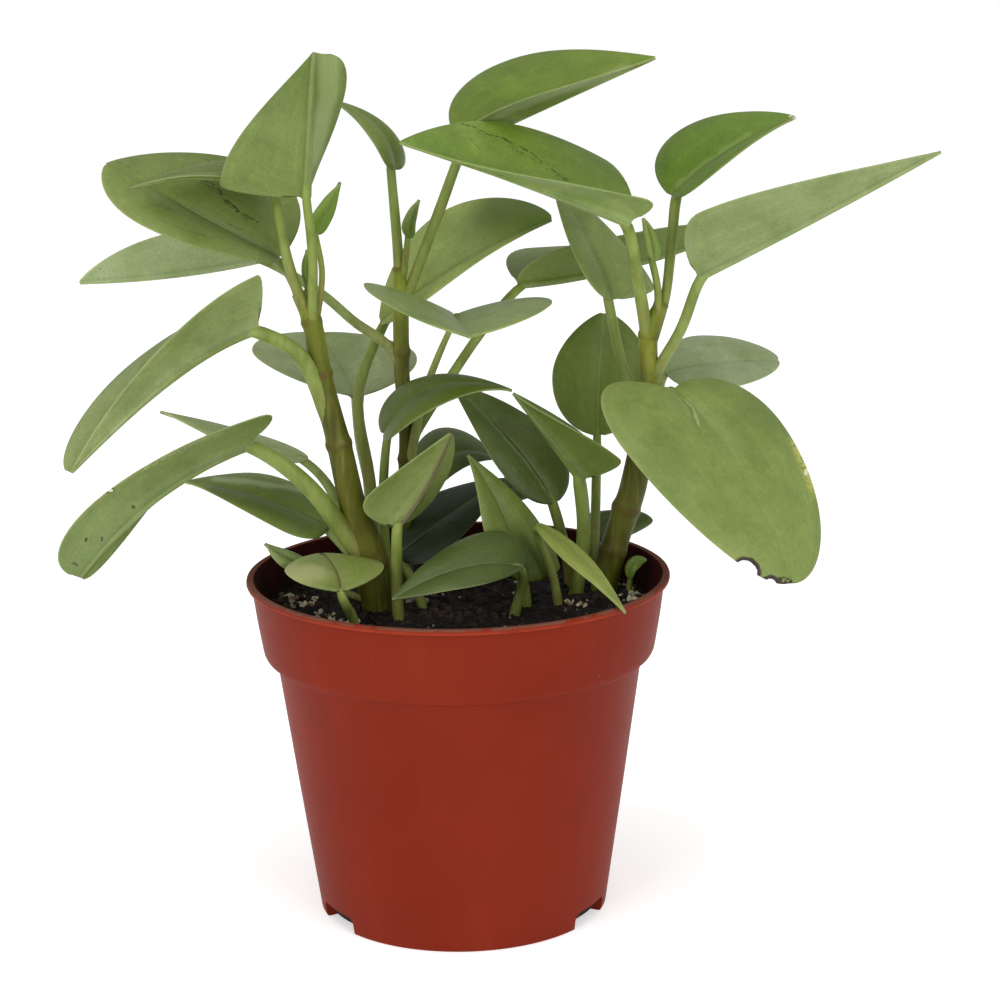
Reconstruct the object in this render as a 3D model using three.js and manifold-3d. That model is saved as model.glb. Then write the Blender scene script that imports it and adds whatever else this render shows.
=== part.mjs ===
// A potted peperomia: a moulded plastic nursery pot filled with potting soil, from which three
// jointed stems and some loose leaf stalks rise. Every leaf has a heart-shaped blade that folds
// along its midrib, on a stalk of its own.
//
// Millimetres, +Z up. The pot stands on z = 0 with its axis on the Z axis; -Y is the front.
import * as THREE from "three";
import { mergeVertices } from "three/addons/utils/BufferGeometryUtils.js";
import Module from "manifold-3d";

const wasm = await Module();
wasm.setup();

// ---- Driving dimensions -------------------------------------------------------------------

const POT_HEIGHT = 98.2;
const RIM_RADIUS = 60; // a 12 cm nursery pot
const BASE_RADIUS = 41.5;
const COLLAR_BOTTOM = 75.6; // height of the collar's lower edge
const COLLAR_TOP_RADIUS = 58.7;
const COLLAR_LOW_RADIUS = 55.8;
const BODY_TOP_RADIUS = 52.2; // the tapered wall just under the collar
const LIP_DEPTH = 1.6;
const WALL = 1.3;
const FLOOR = 1.6;
const DRAIN_ANGLES = [60, 120, 240, 300]; // degrees from +Y
const DRAIN_WIDTH = 16.6; // four arched pockets under the floor, open through the wall
const DRAIN_HEIGHT = 5;
const DRAIN_CORNER = 2;
const DRAIN_INNER = 26; // distance from the axis at which a pocket ends
const DRAIN_HOLE_RADIUS = 3.5;
const DRAIN_CIRCLE = 33;

const SOIL_TOP = 88.5;
const SOIL_LUMPS = 1.1; // how far the soil's surface rises and falls

const BLADE_THICKNESS = 0.8;
const BLADE_SWELL = 1.1; // each half is puffed up this much between midrib and margin
const GAP = 0.3; // between pieces that touch
const ROUND_SIDES = 48;
const STEM_SIDES = 8;
const STALK_SIDES = 5;

// ---- Colours ------------------------------------------------------------------------------

const terracotta = new THREE.MeshStandardMaterial({ color: 0x8f3a29, roughness: 0.5 });
const peat = new THREE.MeshStandardMaterial({ color: 0x1d1411, roughness: 1 });
const stemGreen = new THREE.MeshStandardMaterial({ color: 0x77813b, roughness: 0.55 });
const leafGreen = new THREE.MeshStandardMaterial({ color: 0x7d8f4b, roughness: 0.45 });

// ---- Solids from rings --------------------------------------------------------------------

const vec = (p) => new THREE.Vector3(...p);

function toManifold(geometry) {
  const bare = geometry.clone();
  bare.deleteAttribute("normal");
  bare.deleteAttribute("uv");
  const merged = mergeVertices(bare, 1e-4);
  const mesh = new wasm.Mesh({
    numProp: 3,
    vertProperties: new Float32Array(merged.attributes.position.array),
    triVerts: new Uint32Array(merged.index.array),
  });
  return new wasm.Manifold(mesh);
}

function toGeometry(solid) {
  const mesh = solid.getMesh();
  const geometry = new THREE.BufferGeometry();
  geometry.setAttribute("position", new THREE.BufferAttribute(mesh.vertProperties, 3));
  geometry.setIndex(new THREE.BufferAttribute(mesh.triVerts, 1));
  geometry.computeVertexNormals();
  return geometry;
}

function signedVolume(points, faces) {
  const cross = new THREE.Vector3();
  const box = ([a, b, c]) => points[a].dot(cross.crossVectors(points[b], points[c]));
  return faces.reduce((sum, face) => sum + box(face), 0) / 6;
}

// A closed body through rings of equally many points. The second half of each ring is split along
// the other diagonal, so that a thin sheet's two faces have triangles alike.
function loft(rings, closeEnd) {
  const count = rings[0].length;
  const points = rings.flat();
  const faces = [];
  for (let row = 0; row + 1 < rings.length; row++) {
    for (let k = 0; k < count; k++) {
      const next = (k + 1) % count;
      const [a, b] = [row * count + k, row * count + next];
      const [c, d] = [a + count, b + count];
      if (k < count / 2) faces.push([a, b, d], [a, d, c]);
      else faces.push([a, b, c], [b, d, c]);
    }
  }
  const last = (rings.length - 1) * count;
  for (const [a, b, c] of closeEnd(count)) {
    faces.push([c, b, a], [last + a, last + b, last + c]);
  }
  if (signedVolume(points, faces) < 0) faces.forEach((face) => face.reverse());
  const geometry = new THREE.BufferGeometry().setFromPoints(points);
  geometry.setIndex(faces.flat());
  return toManifold(geometry);
}

// A tube's end is closed by a fan, and a blade's by a ladder between its two faces.
const fan = (count) => Array.from({ length: count - 2 }, (_, k) => [0, k + 1, k + 2]);
const ladder = (count) =>
  Array.from({ length: count / 2 - 1 }, (_, k) => [
    [k, k + 1, count - 2 - k],
    [k, count - 2 - k, count - 1 - k],
  ]).flat();

// A round tube along a smooth curve through the points, with a radius at each point.
function tube(path, radii, sides, steps) {
  const curve = new THREE.CatmullRomCurve3(path.map(vec), false, "centripetal");
  const frames = curve.computeFrenetFrames(steps);
  const rings = [];
  for (let i = 0; i <= steps; i++) {
    const center = curve.getPointAt(i / steps);
    const place = curve.getUtoTmapping(i / steps) * (radii.length - 1);
    const k = Math.min(Math.floor(place), radii.length - 2);
    const radius = THREE.MathUtils.lerp(radii[k], radii[k + 1], place - k);
    rings.push(
      Array.from({ length: sides }, (_, j) => {
        const angle = (2 * Math.PI * j) / sides;
        return center
          .clone()
          .addScaledVector(frames.normals[i], radius * Math.cos(angle))
          .addScaledVector(frames.binormals[i], radius * Math.sin(angle));
      }),
    );
  }
  return loft(rings, fan);
}

// ---- Leaves -------------------------------------------------------------------------------

// Places along the midrib, from 0 at the base to 1 at the tip, closer together at both ends.
const ROWS = [0.01, 0.06, 0.15, 0.3, 0.48, 0.66, 0.83, 0.96];
const ACROSS = [-1, -0.5, 0, 0.5, 1];

// The midrib is the smooth curve through the leaf's base, middle and tip.
function midrib(leaf, s) {
  const [base, middle, tip] = [leaf.base, leaf.middle, leaf.tip].map(vec);
  return base
    .multiplyScalar((1 - s) * (1 - 2 * s))
    .addScaledVector(middle, 4 * s * (1 - s))
    .addScaledVector(tip, s * (2 * s - 1));
}

// How wide a half is at s, as a share of its widest reach: round at the base, drawn to the tip.
function breadth(s, widest, taper) {
  if (s < widest) return Math.sqrt(1 - (1 - s / widest) ** 2);
  return Math.cos(((Math.PI / 2) * (s - widest)) / (1 - widest)) ** taper;
}

// A half's reach from midrib to margin turns from its direction at the base to that at the tip.
function reach(side, s) {
  return vec(side.base).lerp(vec(side.tip), s).multiplyScalar(breadth(s, side.widest, side.taper));
}

function upperFace(leaf, s) {
  const along = midrib(leaf, s + 0.01).sub(midrib(leaf, s - 0.01));
  const left = vec(leaf.left.base).lerp(vec(leaf.left.tip), s);
  const right = vec(leaf.right.base).lerp(vec(leaf.right.tip), s);
  return right.cross(along).add(along.clone().cross(left)).normalize();
}

function bladePoint(leaf, s, t) {
  const side = t < 0 ? leaf.left : leaf.right;
  const across = Math.abs(t);
  const back = vec(leaf.middle).sub(vec(leaf.base)).normalize();
  const width = breadth(s, side.widest, side.taper);
  return midrib(leaf, s)
    .addScaledVector(reach(side, s), across)
    .addScaledVector(back, -(side.lobe ?? 0) * width * across ** 2 * (1 - s) ** 3)
    .addScaledVector(upperFace(leaf, s), BLADE_SWELL * width * 4 * across * (1 - across));
}

function blade(leaf) {
  const step = 0.01;
  const rings = ROWS.map((s) => {
    const faces = ACROSS.map((t) => {
      const inside = THREE.MathUtils.clamp(t, -1 + step, 1 - step);
      const alongRow = bladePoint(leaf, s, inside + step).sub(bladePoint(leaf, s, inside - step));
      const alongRib = bladePoint(leaf, s + step / 2, t).sub(bladePoint(leaf, s - step / 2, t));
      const normal = alongRow.cross(alongRib).normalize();
      const point = bladePoint(leaf, s, t);
      return [1, -1].map((way) => point.clone().addScaledVector(normal, (way * BLADE_THICKNESS) / 2));
    });
    return [...faces.map((pair) => pair[0]), ...faces.map((pair) => pair[1]).reverse()];
  });
  return loft(rings, ladder);
}

// The stalk runs from its root into the blade, and on under the midrib as a short ridge.
function stalk(leaf) {
  const [rootRadius, topRadius] = leaf.thick;
  const under = (s, depth) => midrib(leaf, s).addScaledVector(upperFace(leaf, s), -depth).toArray();
  const path = [...leaf.stalk, under(0.01, 0.2), under(0.16, 0.1)];
  const radii = path.map((_, k) => THREE.MathUtils.lerp(rootRadius, topRadius, k / (path.length - 2)));
  radii[radii.length - 1] = 0.5;
  return tube(path, radii, STALK_SIDES, path.length + 2);
}

const LEAVES = {
  // On the left stem
  leaf_left_top: {
    base: [-39, -17, 207], middle: [-37, -23, 228], tip: [-35.7, -17, 245.4],
    left: { base: [1, 14, -1], tip: [12, 12, -2], widest: 0.5, taper: 0.25 },
    right: { base: [-24, 8, -0.5], tip: [-22, 13, -6], widest: 0.1, taper: 1 },
    stalk: [[-37.4, -6, 160], [-38.7, -6.3, 171], [-38, -11, 190]], thick: [1.5, 1.2],
  },
  leaf_left_broad: {
    base: [-48, 2, 188], middle: [-73, -2, 203], tip: [-93, -10, 216],
    left: { base: [1, -18, -2], tip: [-14, -14, -8], widest: 0.34, taper: 0.75 },
    right: { base: [17, 16, 15], tip: [0, 18, 12], widest: 0.34, taper: 0.9 },
    stalk: [[-40, -4.8, 173], [-43.4, -3, 181], [-46, 1, 185]], thick: [1.6, 1.3],
  },
  leaf_left_slim: {
    base: [-47.6, -1, 206.8], middle: [-66, -5, 211.8], tip: [-86, -18, 210],
    left: { base: [2, -7, 0], tip: [0, -5, 1], widest: 0.28, taper: 1.2 },
    right: { base: [1, 12, 4], tip: [-1, 8, 2], widest: 0.3, taper: 1.2 },
    stalk: [[-40, -5, 173], [-43, -6.2, 181], [-46, -7, 193]], thick: [1.6, 1.4],
  },
  leaf_left_pale: {
    base: [-53, 14, 187], middle: [-77, 11, 183], tip: [-103.5, 2, 182],
    left: { base: [4, -6, 10], tip: [-3, -4, 16], widest: 0.34, taper: 0.8 },
    right: { base: [-1, 18, 8], tip: [-3, 14, 6], widest: 0.34, taper: 1.1 },
    stalk: [[-15, 15, 151], [-18, 15.5, 160], [-28, 14, 168], [-38, 13, 177]], thick: [1.6, 1.3],
  },
  leaf_left_arching: {
    base: [-53, -16, 172], middle: [-75, -24, 160.8], tip: [-103, -34, 136],
    left: { base: [4, -10, 17], tip: [-8, -6, 8], widest: 0.06, taper: 0.8 },
    right: { base: [-7, 18, 2.5], tip: [-18, 16, 3], widest: 0.2, taper: 0.5 },
    stalk: [[-33, -6, 137], [-35.6, -6.6, 146], [-42, -10, 162.5]], thick: [2.6, 1.9],
  },
  leaf_left_drooping: {
    base: [-56, -14, 140], middle: [-80, -26, 128.6], tip: [-101, -40, 109],
    left: { base: [12, -10, 11.5], tip: [-21.5, -6, 7.5], widest: 0.1, taper: 0.4 },
    right: { base: [-4, 20, 3], tip: [4.5, 2.5, -5], widest: 0.2, taper: 0.4 },
    stalk: [[-25, -5, 98], [-28.5, -6, 107], [-42, -10, 127]], thick: [3.4, 2],
  },
  leaf_left_hidden: {
    base: [-42.5, 12, 129], middle: [-64, 16, 135.5], tip: [-85, 20, 142],
    left: { base: [-2, -6, -2], tip: [-4, -5, 0], widest: 0.3, taper: 1.3 },
    right: { base: [1, 8, -0.5], tip: [-1, 8, 1], widest: 0.3, taper: 1.2 },
    stalk: [[-28, -3, 106], [-31, 0, 113], [-37, 7, 123]], thick: [1.6, 1.3],
  },
  leaf_left_low: {
    base: [-37, 9, 110], middle: [-57, 17, 117], tip: [-79, 24, 120],
    left: { base: [-1, -12, -5.5], tip: [-5, -8, 0], widest: 0.3, taper: 1 },
    right: { base: [0, 14, 6], tip: [-1, 12, 2], widest: 0.4, taper: 0.8 },
    stalk: [[-26, -3, 96], [-29, 0, 102]], thick: [1.8, 1.4],
  },
  leaf_left_sprout: {
    base: [-43, -6, 101.5], middle: [-49, -7, 105], tip: [-54, -8, 109.4],
    left: { base: [-3, -4, -1], tip: [-1, -2, 0], widest: 0.4, taper: 1 },
    right: { base: [3, 3, 1], tip: [1, 2, 1], widest: 0.4, taper: 1 },
    stalk: [[-24, -5, 91], [-34, -5, 95]], thick: [1.1, 0.9],
  },
  // On the center stem
  leaf_center_curled: {
    base: [-16, 16, 211], middle: [-20, 14, 222], tip: [-32, 12, 230],
    left: { base: [-3, -8, -1], tip: [-2, -6, -2], widest: 0.35, taper: 0.9 },
    right: { base: [4.6, 8, -3], tip: [2, 6, 1], widest: 0.35, taper: 0.9 },
    stalk: [[-15, 14, 176], [-15.2, 14, 184], [-16, 15, 198]], thick: [1.6, 1.3],
  },
  leaf_center_top: {
    base: [3, 14, 218], middle: [28, 10, 229], tip: [57, 8, 241],
    left: { base: [-12, 22, 11], tip: [1, 22, 14], widest: 0.36, taper: 1 },
    right: { base: [-2, -14, 6], tip: [0, -10, 2.5], widest: 0.36, taper: 1 },
    stalk: [[-15, 14.5, 163], [-13.6, 14, 173], [-4, 14, 198]], thick: [1.7, 1.4],
  },
  leaf_center_back: {
    base: [-21, 22, 166], middle: [1, 27, 181], tip: [29, 31, 194],
    left: { base: [-1, 16, 16], tip: [-1, 20, 15.5], widest: 0.4, taper: 0.65 },
    right: { base: [3, -8, -1], tip: [0, -8, 0], widest: 0.35, taper: 0.8 },
    stalk: [[-26, 25, 76], [-25, 23, 115], [-28, 22, 144]], thick: [2.2, 1.4],
  },
  leaf_center_front: {
    base: [0.5, 4, 171], middle: [2, -20, 172], tip: [4, -44, 173],
    left: { base: [25, 0, 7], tip: [25, 2, 5], widest: 0.42, taper: 0.5, lobe: 4 },
    right: { base: [-26, 0, 12], tip: [-25, 2, 7], widest: 0.3, taper: 0.5, lobe: 4 },
    stalk: [[-14.2, 16, 118], [-13.2, 15, 128], [-8, 9, 150]], thick: [1.7, 1.4],
  },
  leaf_back_long: {
    base: [19, 36, 174.9], middle: [50, 50, 177.1], tip: [82.8, 62, 185.2],
    left: { base: [-10, 18, 8], tip: [2, 16, 4], widest: 0.2, taper: 0.8 },
    right: { base: [-2, -6, 9.5], tip: [-1, -5, 11.5], widest: 0.35, taper: 0.5 },
    stalk: [[-15, 17, 122], [-12.5, 18, 132], [-9.4, 20, 137.9], [6.6, 27, 160.6]], thick: [1.6, 1.3],
  },
  leaf_back_round: {
    base: [-29, 36, 142], middle: [-34, 56, 148], tip: [-41, 72, 155],
    left: { base: [-26, -2, 6], tip: [-27, -4, 5], widest: 0.45, taper: 0.6 },
    right: { base: [21, -2, 5], tip: [23, -4, 4], widest: 0.45, taper: 0.6 },
    stalk: [[-21, 31, 76], [-25, 31, 113], [-28, 32, 130]], thick: [2, 1.5],
  },
  // On the right stem
  leaf_right_big: {
    base: [49, 0, 197], middle: [17, -8, 210], tip: [-14, -14, 221],
    left: { base: [11, -12, 6], tip: [-5, -10, -1], widest: 0.1, taper: 1.1 },
    right: { base: [5, 18, 9], tip: [1, 20, 23], widest: 0.16, taper: 0.95 },
    stalk: [[55, 12, 153], [54.3, 11, 164], [51, 5, 183]], thick: [1.9, 1.6],
  },
  leaf_right_long: {
    base: [68, 4, 181], middle: [100, -4, 198], tip: [133, -10, 216],
    left: { base: [-4, 16, 10], tip: [-1, 10, 7], widest: 0.14, taper: 1 },
    right: { base: [-10, -10, 15], tip: [-4, -4, 11], widest: 0.14, taper: 0.95 },
    stalk: [[55, 12, 142], [57, 11, 152], [64, 7, 166]], thick: [1.8, 1.5],
  },
  leaf_right_top: {
    base: [62, 14, 202], middle: [76, 12, 214], tip: [96, 10, 224],
    left: { base: [-10, 16, 6.5], tip: [-1, 16, 10.5], widest: 0.34, taper: 0.9 },
    right: { base: [1, -14, -1], tip: [0, -10, -1], widest: 0.32, taper: 1 },
    stalk: [[58.6, 12, 167], [59.8, 12.5, 174], [61.5, 14, 187]], thick: [1.4, 1.5],
  },
  leaf_right_upright: {
    base: [45, 22, 172], middle: [39.5, 31, 187], tip: [28.5, 40, 205.5],
    left: { base: [-5, -9, 1], tip: [-8, -8, 0], widest: 0.3, taper: 1 },
    right: { base: [14.5, 8, -1], tip: [11, 8, -3], widest: 0.12, taper: 0.7 },
    stalk: [[54.5, 13, 131], [53.5, 14, 141], [48, 20, 154]], thick: [1.6, 1.4],
  },
  leaf_right_back_round: {
    base: [42, 38, 129], middle: [43, 48, 145], tip: [45, 54, 163],
    left: { base: [-14, -2, 1], tip: [-14, 0, 0], widest: 0.5, taper: 0.6 },
    right: { base: [15, 2, -1], tip: [15, 0, 0], widest: 0.5, taper: 0.6 },
    stalk: [[40, 22, 76], [40, 23, 96], [41, 31, 114]], thick: [1.6, 1.3],
  },
  leaf_right_back_pale: {
    base: [61, 30, 149], middle: [77, 44, 149], tip: [97, 56, 147],
    left: { base: [-1, 14, 7], tip: [2, 14, 5], widest: 0.4, taper: 0.4 },
    right: { base: [5, -10, -6], tip: [3, -10, -6], widest: 0.4, taper: 0.4 },
    stalk: [[52, 12, 120], [53, 13, 129], [57, 20, 140]], thick: [1.6, 1.3],
  },
  leaf_right_front: {
    base: [61, 0, 150], middle: [78, -22, 131], tip: [89, -40, 104],
    left: { base: [17, 12, 6], tip: [23, 10, -9], widest: 0.34, taper: 0.58, lobe: 3 },
    right: { base: [-28, -14, 0], tip: [-19, -14, -8], widest: 0.34, taper: 0.65, lobe: 18 },
    stalk: [[55, 12, 129], [55, 11, 138], [60, 5, 147]], thick: [2, 1.6],
    bites: [[77, -42.3, 108, 3.2], [83.6, -41.9, 104.1, 1.8]],
  },
  // Rising from the soil
  leaf_low_arched: {
    base: [-20, 2, 138], middle: [-6, -4, 152], tip: [16, -10, 152],
    left: { base: [-5.5, 12, 1], tip: [0, 10, 1.5], widest: 0.35, taper: 1 },
    right: { base: [0, -13, -4.5], tip: [1, -10, -2.5], widest: 0.35, taper: 1.1 },
    stalk: [[-17, 4, 76], [-20, 6, 95], [-21, 6, 112], [-20.5, 5, 127]], thick: [1.7, 1.2],
  },
  leaf_low_dark: {
    base: [28, 12, 115], middle: [17, 16, 131], tip: [-0.6, 22, 147.8],
    left: { base: [-9, -6, -2], tip: [-7, -6, 0], widest: 0.4, taper: 0.8 },
    right: { base: [9.4, 6, 3], tip: [8, 6, 5], widest: 0.4, taper: 0.8 },
    stalk: [[34, 19, 76], [32, 17, 95], [30, 15, 105]], thick: [1.7, 1.5],
  },
  leaf_low_folded: {
    base: [36, 2, 124], middle: [26.6, 0, 136.6], tip: [16, -2, 150],
    left: { base: [12.5, -10, 5], tip: [5, -8, 4], widest: 0.12, taper: 1.1 },
    right: { base: [7, 16, 1], tip: [6, 10, 3], widest: 0.2, taper: 1 },
    stalk: [[31, 9, 76], [34, 8, 90], [36, 5, 107]], thick: [2.2, 1.9],
  },
  leaf_low_bright: {
    base: [-17.5, -18, 116], middle: [-9.6, -15, 125.5], tip: [-1.2, -15, 141.6],
    left: { base: [1, 12, -4], tip: [6, 12, -6], widest: 0.35, taper: 0.6 },
    right: { base: [-13, -8, 5.5], tip: [-6, -8, 6.5], widest: 0.3, taper: 0.8 },
    stalk: [[-16, -14, 76], [-17, -15, 92], [-17, -17, 104]], thick: [1.7, 1.5],
  },
  leaf_low_shaded: {
    base: [-17, 10, 101], middle: [-3, 16, 110], tip: [14, 21, 120],
    left: { base: [-7, 12, 6], tip: [0, 12, 4], widest: 0.4, taper: 0.8 },
    right: { base: [3, -8, -6], tip: [3, -8, -4], widest: 0.4, taper: 0.8 },
    stalk: [[-8, -3, 76], [-11, 1, 90]], thick: [1.6, 1.2],
  },
  leaf_low_grey: {
    base: [-15, 31, 113], middle: [-2, 37, 124], tip: [12, 43, 121],
    left: { base: [-3, 12, 8], tip: [0, 12, 4], widest: 0.4, taper: 0.8 },
    right: { base: [2, -6, -7], tip: [0, -6, -3], widest: 0.4, taper: 0.8 },
    stalk: [[-13, 29, 76], [-15, 29, 96]], thick: [1.5, 1.2],
  },
  leaf_low_leaning: {
    base: [19, -4, 96], middle: [13, -4, 115], tip: [3, -4, 133],
    left: { base: [-9, -8, 3], tip: [-5, -7, 0], widest: 0.3, taper: 1 },
    right: { base: [11, 8, -1.8], tip: [10, 8, 1], widest: 0.1, taper: 1 },
    stalk: [[19, 2, 76], [19, -1, 86]], thick: [2.1, 1.7],
  },
  leaf_low_front: {
    base: [18, -18, 104], middle: [1, -28, 106.5], tip: [-18, -36, 100],
    left: { base: [-3, -10, -2], tip: [-1, -10, -6], widest: 0.3, taper: 1 },
    right: { base: [2, 11, 7], tip: [-3, 10, 6], widest: 0.25, taper: 0.9 },
    stalk: [[13, -9, 76], [16, -11, 90], [18, -14, 98]], thick: [1.6, 1.2],
  },
  leaf_low_over_rim: {
    base: [22, -10, 114], middle: [34, -27, 107.5], tip: [44.5, -45, 97.6],
    left: { base: [1, 5, -0.5], tip: [2, 5, 0], widest: 0.35, taper: 1 },
    right: { base: [-2, -8, -1], tip: [-2, -6, -1], widest: 0.35, taper: 1 },
    stalk: [[30, -2, 76], [27, -3, 96], [23, -6, 108]], thick: [1.4, 1.1],
  },
  leaf_low_left: {
    base: [-32, -30, 101], middle: [-34, -18, 104], tip: [-38, -8, 106],
    left: { base: [-14, 0, 1], tip: [-14, 0, -1], widest: 0.45, taper: 0.6 },
    right: { base: [13, 2, 2.5], tip: [13, 0, 0], widest: 0.45, taper: 0.6 },
    stalk: [[-28, -17, 76], [-29, -22, 90], [-31, -28, 97]], thick: [1.5, 1.2],
  },
  leaf_low_behind: {
    base: [44, 30, 98.5], middle: [48, 35, 102], tip: [54, 39, 105],
    left: { base: [-12, 2, 3], tip: [-9, 0, 3], widest: 0.5, taper: 0.6 },
    right: { base: [9.5, 2, 0.5], tip: [9, 0, -1], widest: 0.5, taper: 0.6 },
    stalk: [[40, 30, 76], [42, 30, 88]], thick: [1.4, 1.1],
  },
  leaf_low_back: {
    base: [14, 32, 113], middle: [24, 34, 119], tip: [35, 36, 122],
    left: { base: [-2, 10, 5], tip: [0, 8, 3], widest: 0.4, taper: 0.9 },
    right: { base: [2, -8, -4], tip: [1, -6, -3], widest: 0.4, taper: 0.9 },
    stalk: [[10, 28, 76], [12, 29, 97]], thick: [1.4, 1.1],
  },
  seedling: {
    base: [49, 9, 93], middle: [51, 9, 97], tip: [54, 9, 98],
    left: { base: [-1, 3, 1], tip: [0, 2, 1], widest: 0.45, taper: 0.7 },
    right: { base: [1, -3, -1], tip: [0, -2, -1], widest: 0.45, taper: 0.7 },
    stalk: [[49, 9, 76], [49, 9, 86]], thick: [0.9, 0.8],
  },
};

// ---- Stems --------------------------------------------------------------------------------

// Each stem is a jointed shoot: its path, with the radius at each point.
const STEMS = {
  stem_left: {
    path: [[-19, -4, 64], [-22.4, -4, 88], [-25, -4, 103], [-29, -5, 119], [-33, -6, 139],
      [-37, -6, 157], [-39, -5, 171], [-43, -4, 180]],
    radii: [4.6, 4.9, 5.2, 3.8, 3.3, 3, 2.7, 1.9],
    buds: ["bud_left_pair", "bud_left_tip"],
  },
  stem_center: {
    path: [[-17, 19, 64], [-17, 19, 90], [-16, 18, 103], [-14, 16, 133], [-15, 15, 152],
      [-15, 15, 160], [-15, 14, 174], [-15, 14, 184]],
    radii: [2.6, 2.6, 2.4, 2.3, 2.2, 2.3, 2.2, 1.7],
    buds: ["bud_center"],
  },
  stem_right: {
    path: [[40, 12, 64], [42, 12, 88], [44, 12, 98], [48, 12, 111], [51, 12, 121],
      [55, 12, 145], [55, 12, 163], [59, 12, 173]],
    radii: [4, 4.1, 3.9, 3.9, 3.9, 3.1, 2.7, 1.8],
    buds: ["bud_right"],
  },
};

// Young leaves that are still small, grown on the stems' tips.
const BUDS = {
  bud_left_pair: {
    base: [-37, -6, 196], middle: [-34, -7, 203], tip: [-30, -8, 210],
    left: { base: [-3, -5, 2], tip: [-1, -2, 1], widest: 0.4, taper: 1 },
    right: { base: [2, 5, -2], tip: [1, 2, -1], widest: 0.4, taper: 1 },
    stalk: [[-38, -4, 170], [-36, -2, 184]], thick: [0.9, 0.8],
  },
  bud_left_tip: {
    base: [-40, -2, 182], middle: [-40, -2, 187], tip: [-40, -3, 191],
    left: { base: [-2, -1, 0], tip: [-1, 0, 0], widest: 0.4, taper: 1 },
    right: { base: [2, 1, 0], tip: [1, 0, 0], widest: 0.4, taper: 1 },
    stalk: [[-40, -4, 174]], thick: [0.9, 0.8],
  },
  bud_center: {
    base: [-12, 10, 192], middle: [-12, 9, 197], tip: [-9, 8, 203],
    left: { base: [-2, -3, 1], tip: [-1, -1, 1], widest: 0.45, taper: 0.8 },
    right: { base: [2, 3, 0], tip: [1, 1, 0], widest: 0.45, taper: 0.8 },
    stalk: [[-14, 13, 180]], thick: [1, 0.8],
  },
  bud_right: {
    base: [56.2, 9, 185], middle: [55, 8, 191], tip: [53, 7, 197],
    left: { base: [-2, -2, 0], tip: [-1.2, -1, 0], widest: 0.45, taper: 0.7 },
    right: { base: [2.8, 1.5, -0.5], tip: [1.8, 1, 0], widest: 0.45, taper: 0.7 },
    stalk: [[57.6, 11, 168], [57.4, 10, 177]], thick: [1.1, 1],
  },
};

function stemSolid({ path, radii }, extra = 0) {
  const [[x, y, z], ...rest] = path;
  return tube([[x, y, z - extra], ...rest], radii.map((radius) => radius + extra), STEM_SIDES, 12);
}

// ---- Pot and soil -------------------------------------------------------------------------

function lathe(profile) {
  const points = profile.map(([r, z]) => new THREE.Vector2(r, z));
  const geometry = new THREE.LatheGeometry([...points, points[0]], ROUND_SIDES);
  geometry.rotateX(Math.PI / 2);
  const solid = toManifold(geometry);
  return solid.volume() > 0 ? solid : toManifold(flipped(geometry));
}

function flipped(geometry) {
  const copy = geometry.clone();
  copy.setIndex(Array.from(geometry.index.array).reverse());
  return copy;
}

// Radius of the tapered wall's outside at height z, below the collar.
const bodyRadius = (z) => THREE.MathUtils.lerp(BASE_RADIUS, BODY_TOP_RADIUS, z / COLLAR_BOTTOM);
const collarRadius = (z) => {
  const up = (z - COLLAR_BOTTOM - 1) / (POT_HEIGHT - LIP_DEPTH - COLLAR_BOTTOM - 1);
  return THREE.MathUtils.lerp(COLLAR_LOW_RADIUS, COLLAR_TOP_RADIUS, up);
};
const SHOULDER_INSIDE = COLLAR_BOTTOM + WALL;

// The pot's outline from the underside of the floor, up the outside, to the top of the lip.
function outline() {
  const under = POT_HEIGHT - LIP_DEPTH;
  return [
    [0, 0],
    [BASE_RADIUS - 0.5, 0],
    [BASE_RADIUS, 0.5],
    [bodyRadius(COLLAR_BOTTOM - 1.5), COLLAR_BOTTOM - 1.5],
    [BODY_TOP_RADIUS + 0.7, COLLAR_BOTTOM - 0.3],
    [COLLAR_LOW_RADIUS - 0.7, COLLAR_BOTTOM],
    [COLLAR_LOW_RADIUS, COLLAR_BOTTOM + 1],
    [COLLAR_TOP_RADIUS, under],
    [RIM_RADIUS - 0.3, under],
    [RIM_RADIUS, under + 0.5],
    [RIM_RADIUS, POT_HEIGHT - 0.7],
    [RIM_RADIUS - 0.6, POT_HEIGHT],
  ];
}

// An arched drain pocket, larger all round by the given amount.
function drain(extra) {
  const half = DRAIN_WIDTH / 2 + extra;
  const height = DRAIN_HEIGHT + extra;
  const corner = DRAIN_CORNER + extra;
  const arch = new THREE.Shape();
  arch.moveTo(-half, -1);
  arch.lineTo(half, -1);
  arch.lineTo(half, height - corner);
  arch.absarc(half - corner, height - corner, corner, 0, Math.PI / 2, false);
  arch.absarc(corner - half, height - corner, corner, Math.PI / 2, Math.PI, false);
  const depth = BASE_RADIUS + 5 - DRAIN_INNER;
  const geometry = new THREE.ExtrudeGeometry(arch, { depth, bevelEnabled: false, curveSegments: 3 });
  geometry.translate(0, 0, DRAIN_INNER - extra);
  geometry.rotateX(Math.PI / 2);
  geometry.rotateZ(Math.PI);
  return toManifold(geometry);
}

function drainHole() {
  const hole = new THREE.CylinderGeometry(DRAIN_HOLE_RADIUS, DRAIN_HOLE_RADIUS, 4 * WALL, 16);
  hole.rotateX(Math.PI / 2);
  hole.translate(0, DRAIN_CIRCLE, DRAIN_HEIGHT + WALL / 2);
  return toManifold(hole);
}

const aroundFloor = (solid) => DRAIN_ANGLES.map((degrees) => solid.rotate([0, 0, degrees]));
const union = (solids) => solids.reduce((sum, solid) => sum.add(solid));
const without = (solid, others) => others.reduce((rest, other) => rest.subtract(other), solid);

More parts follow.
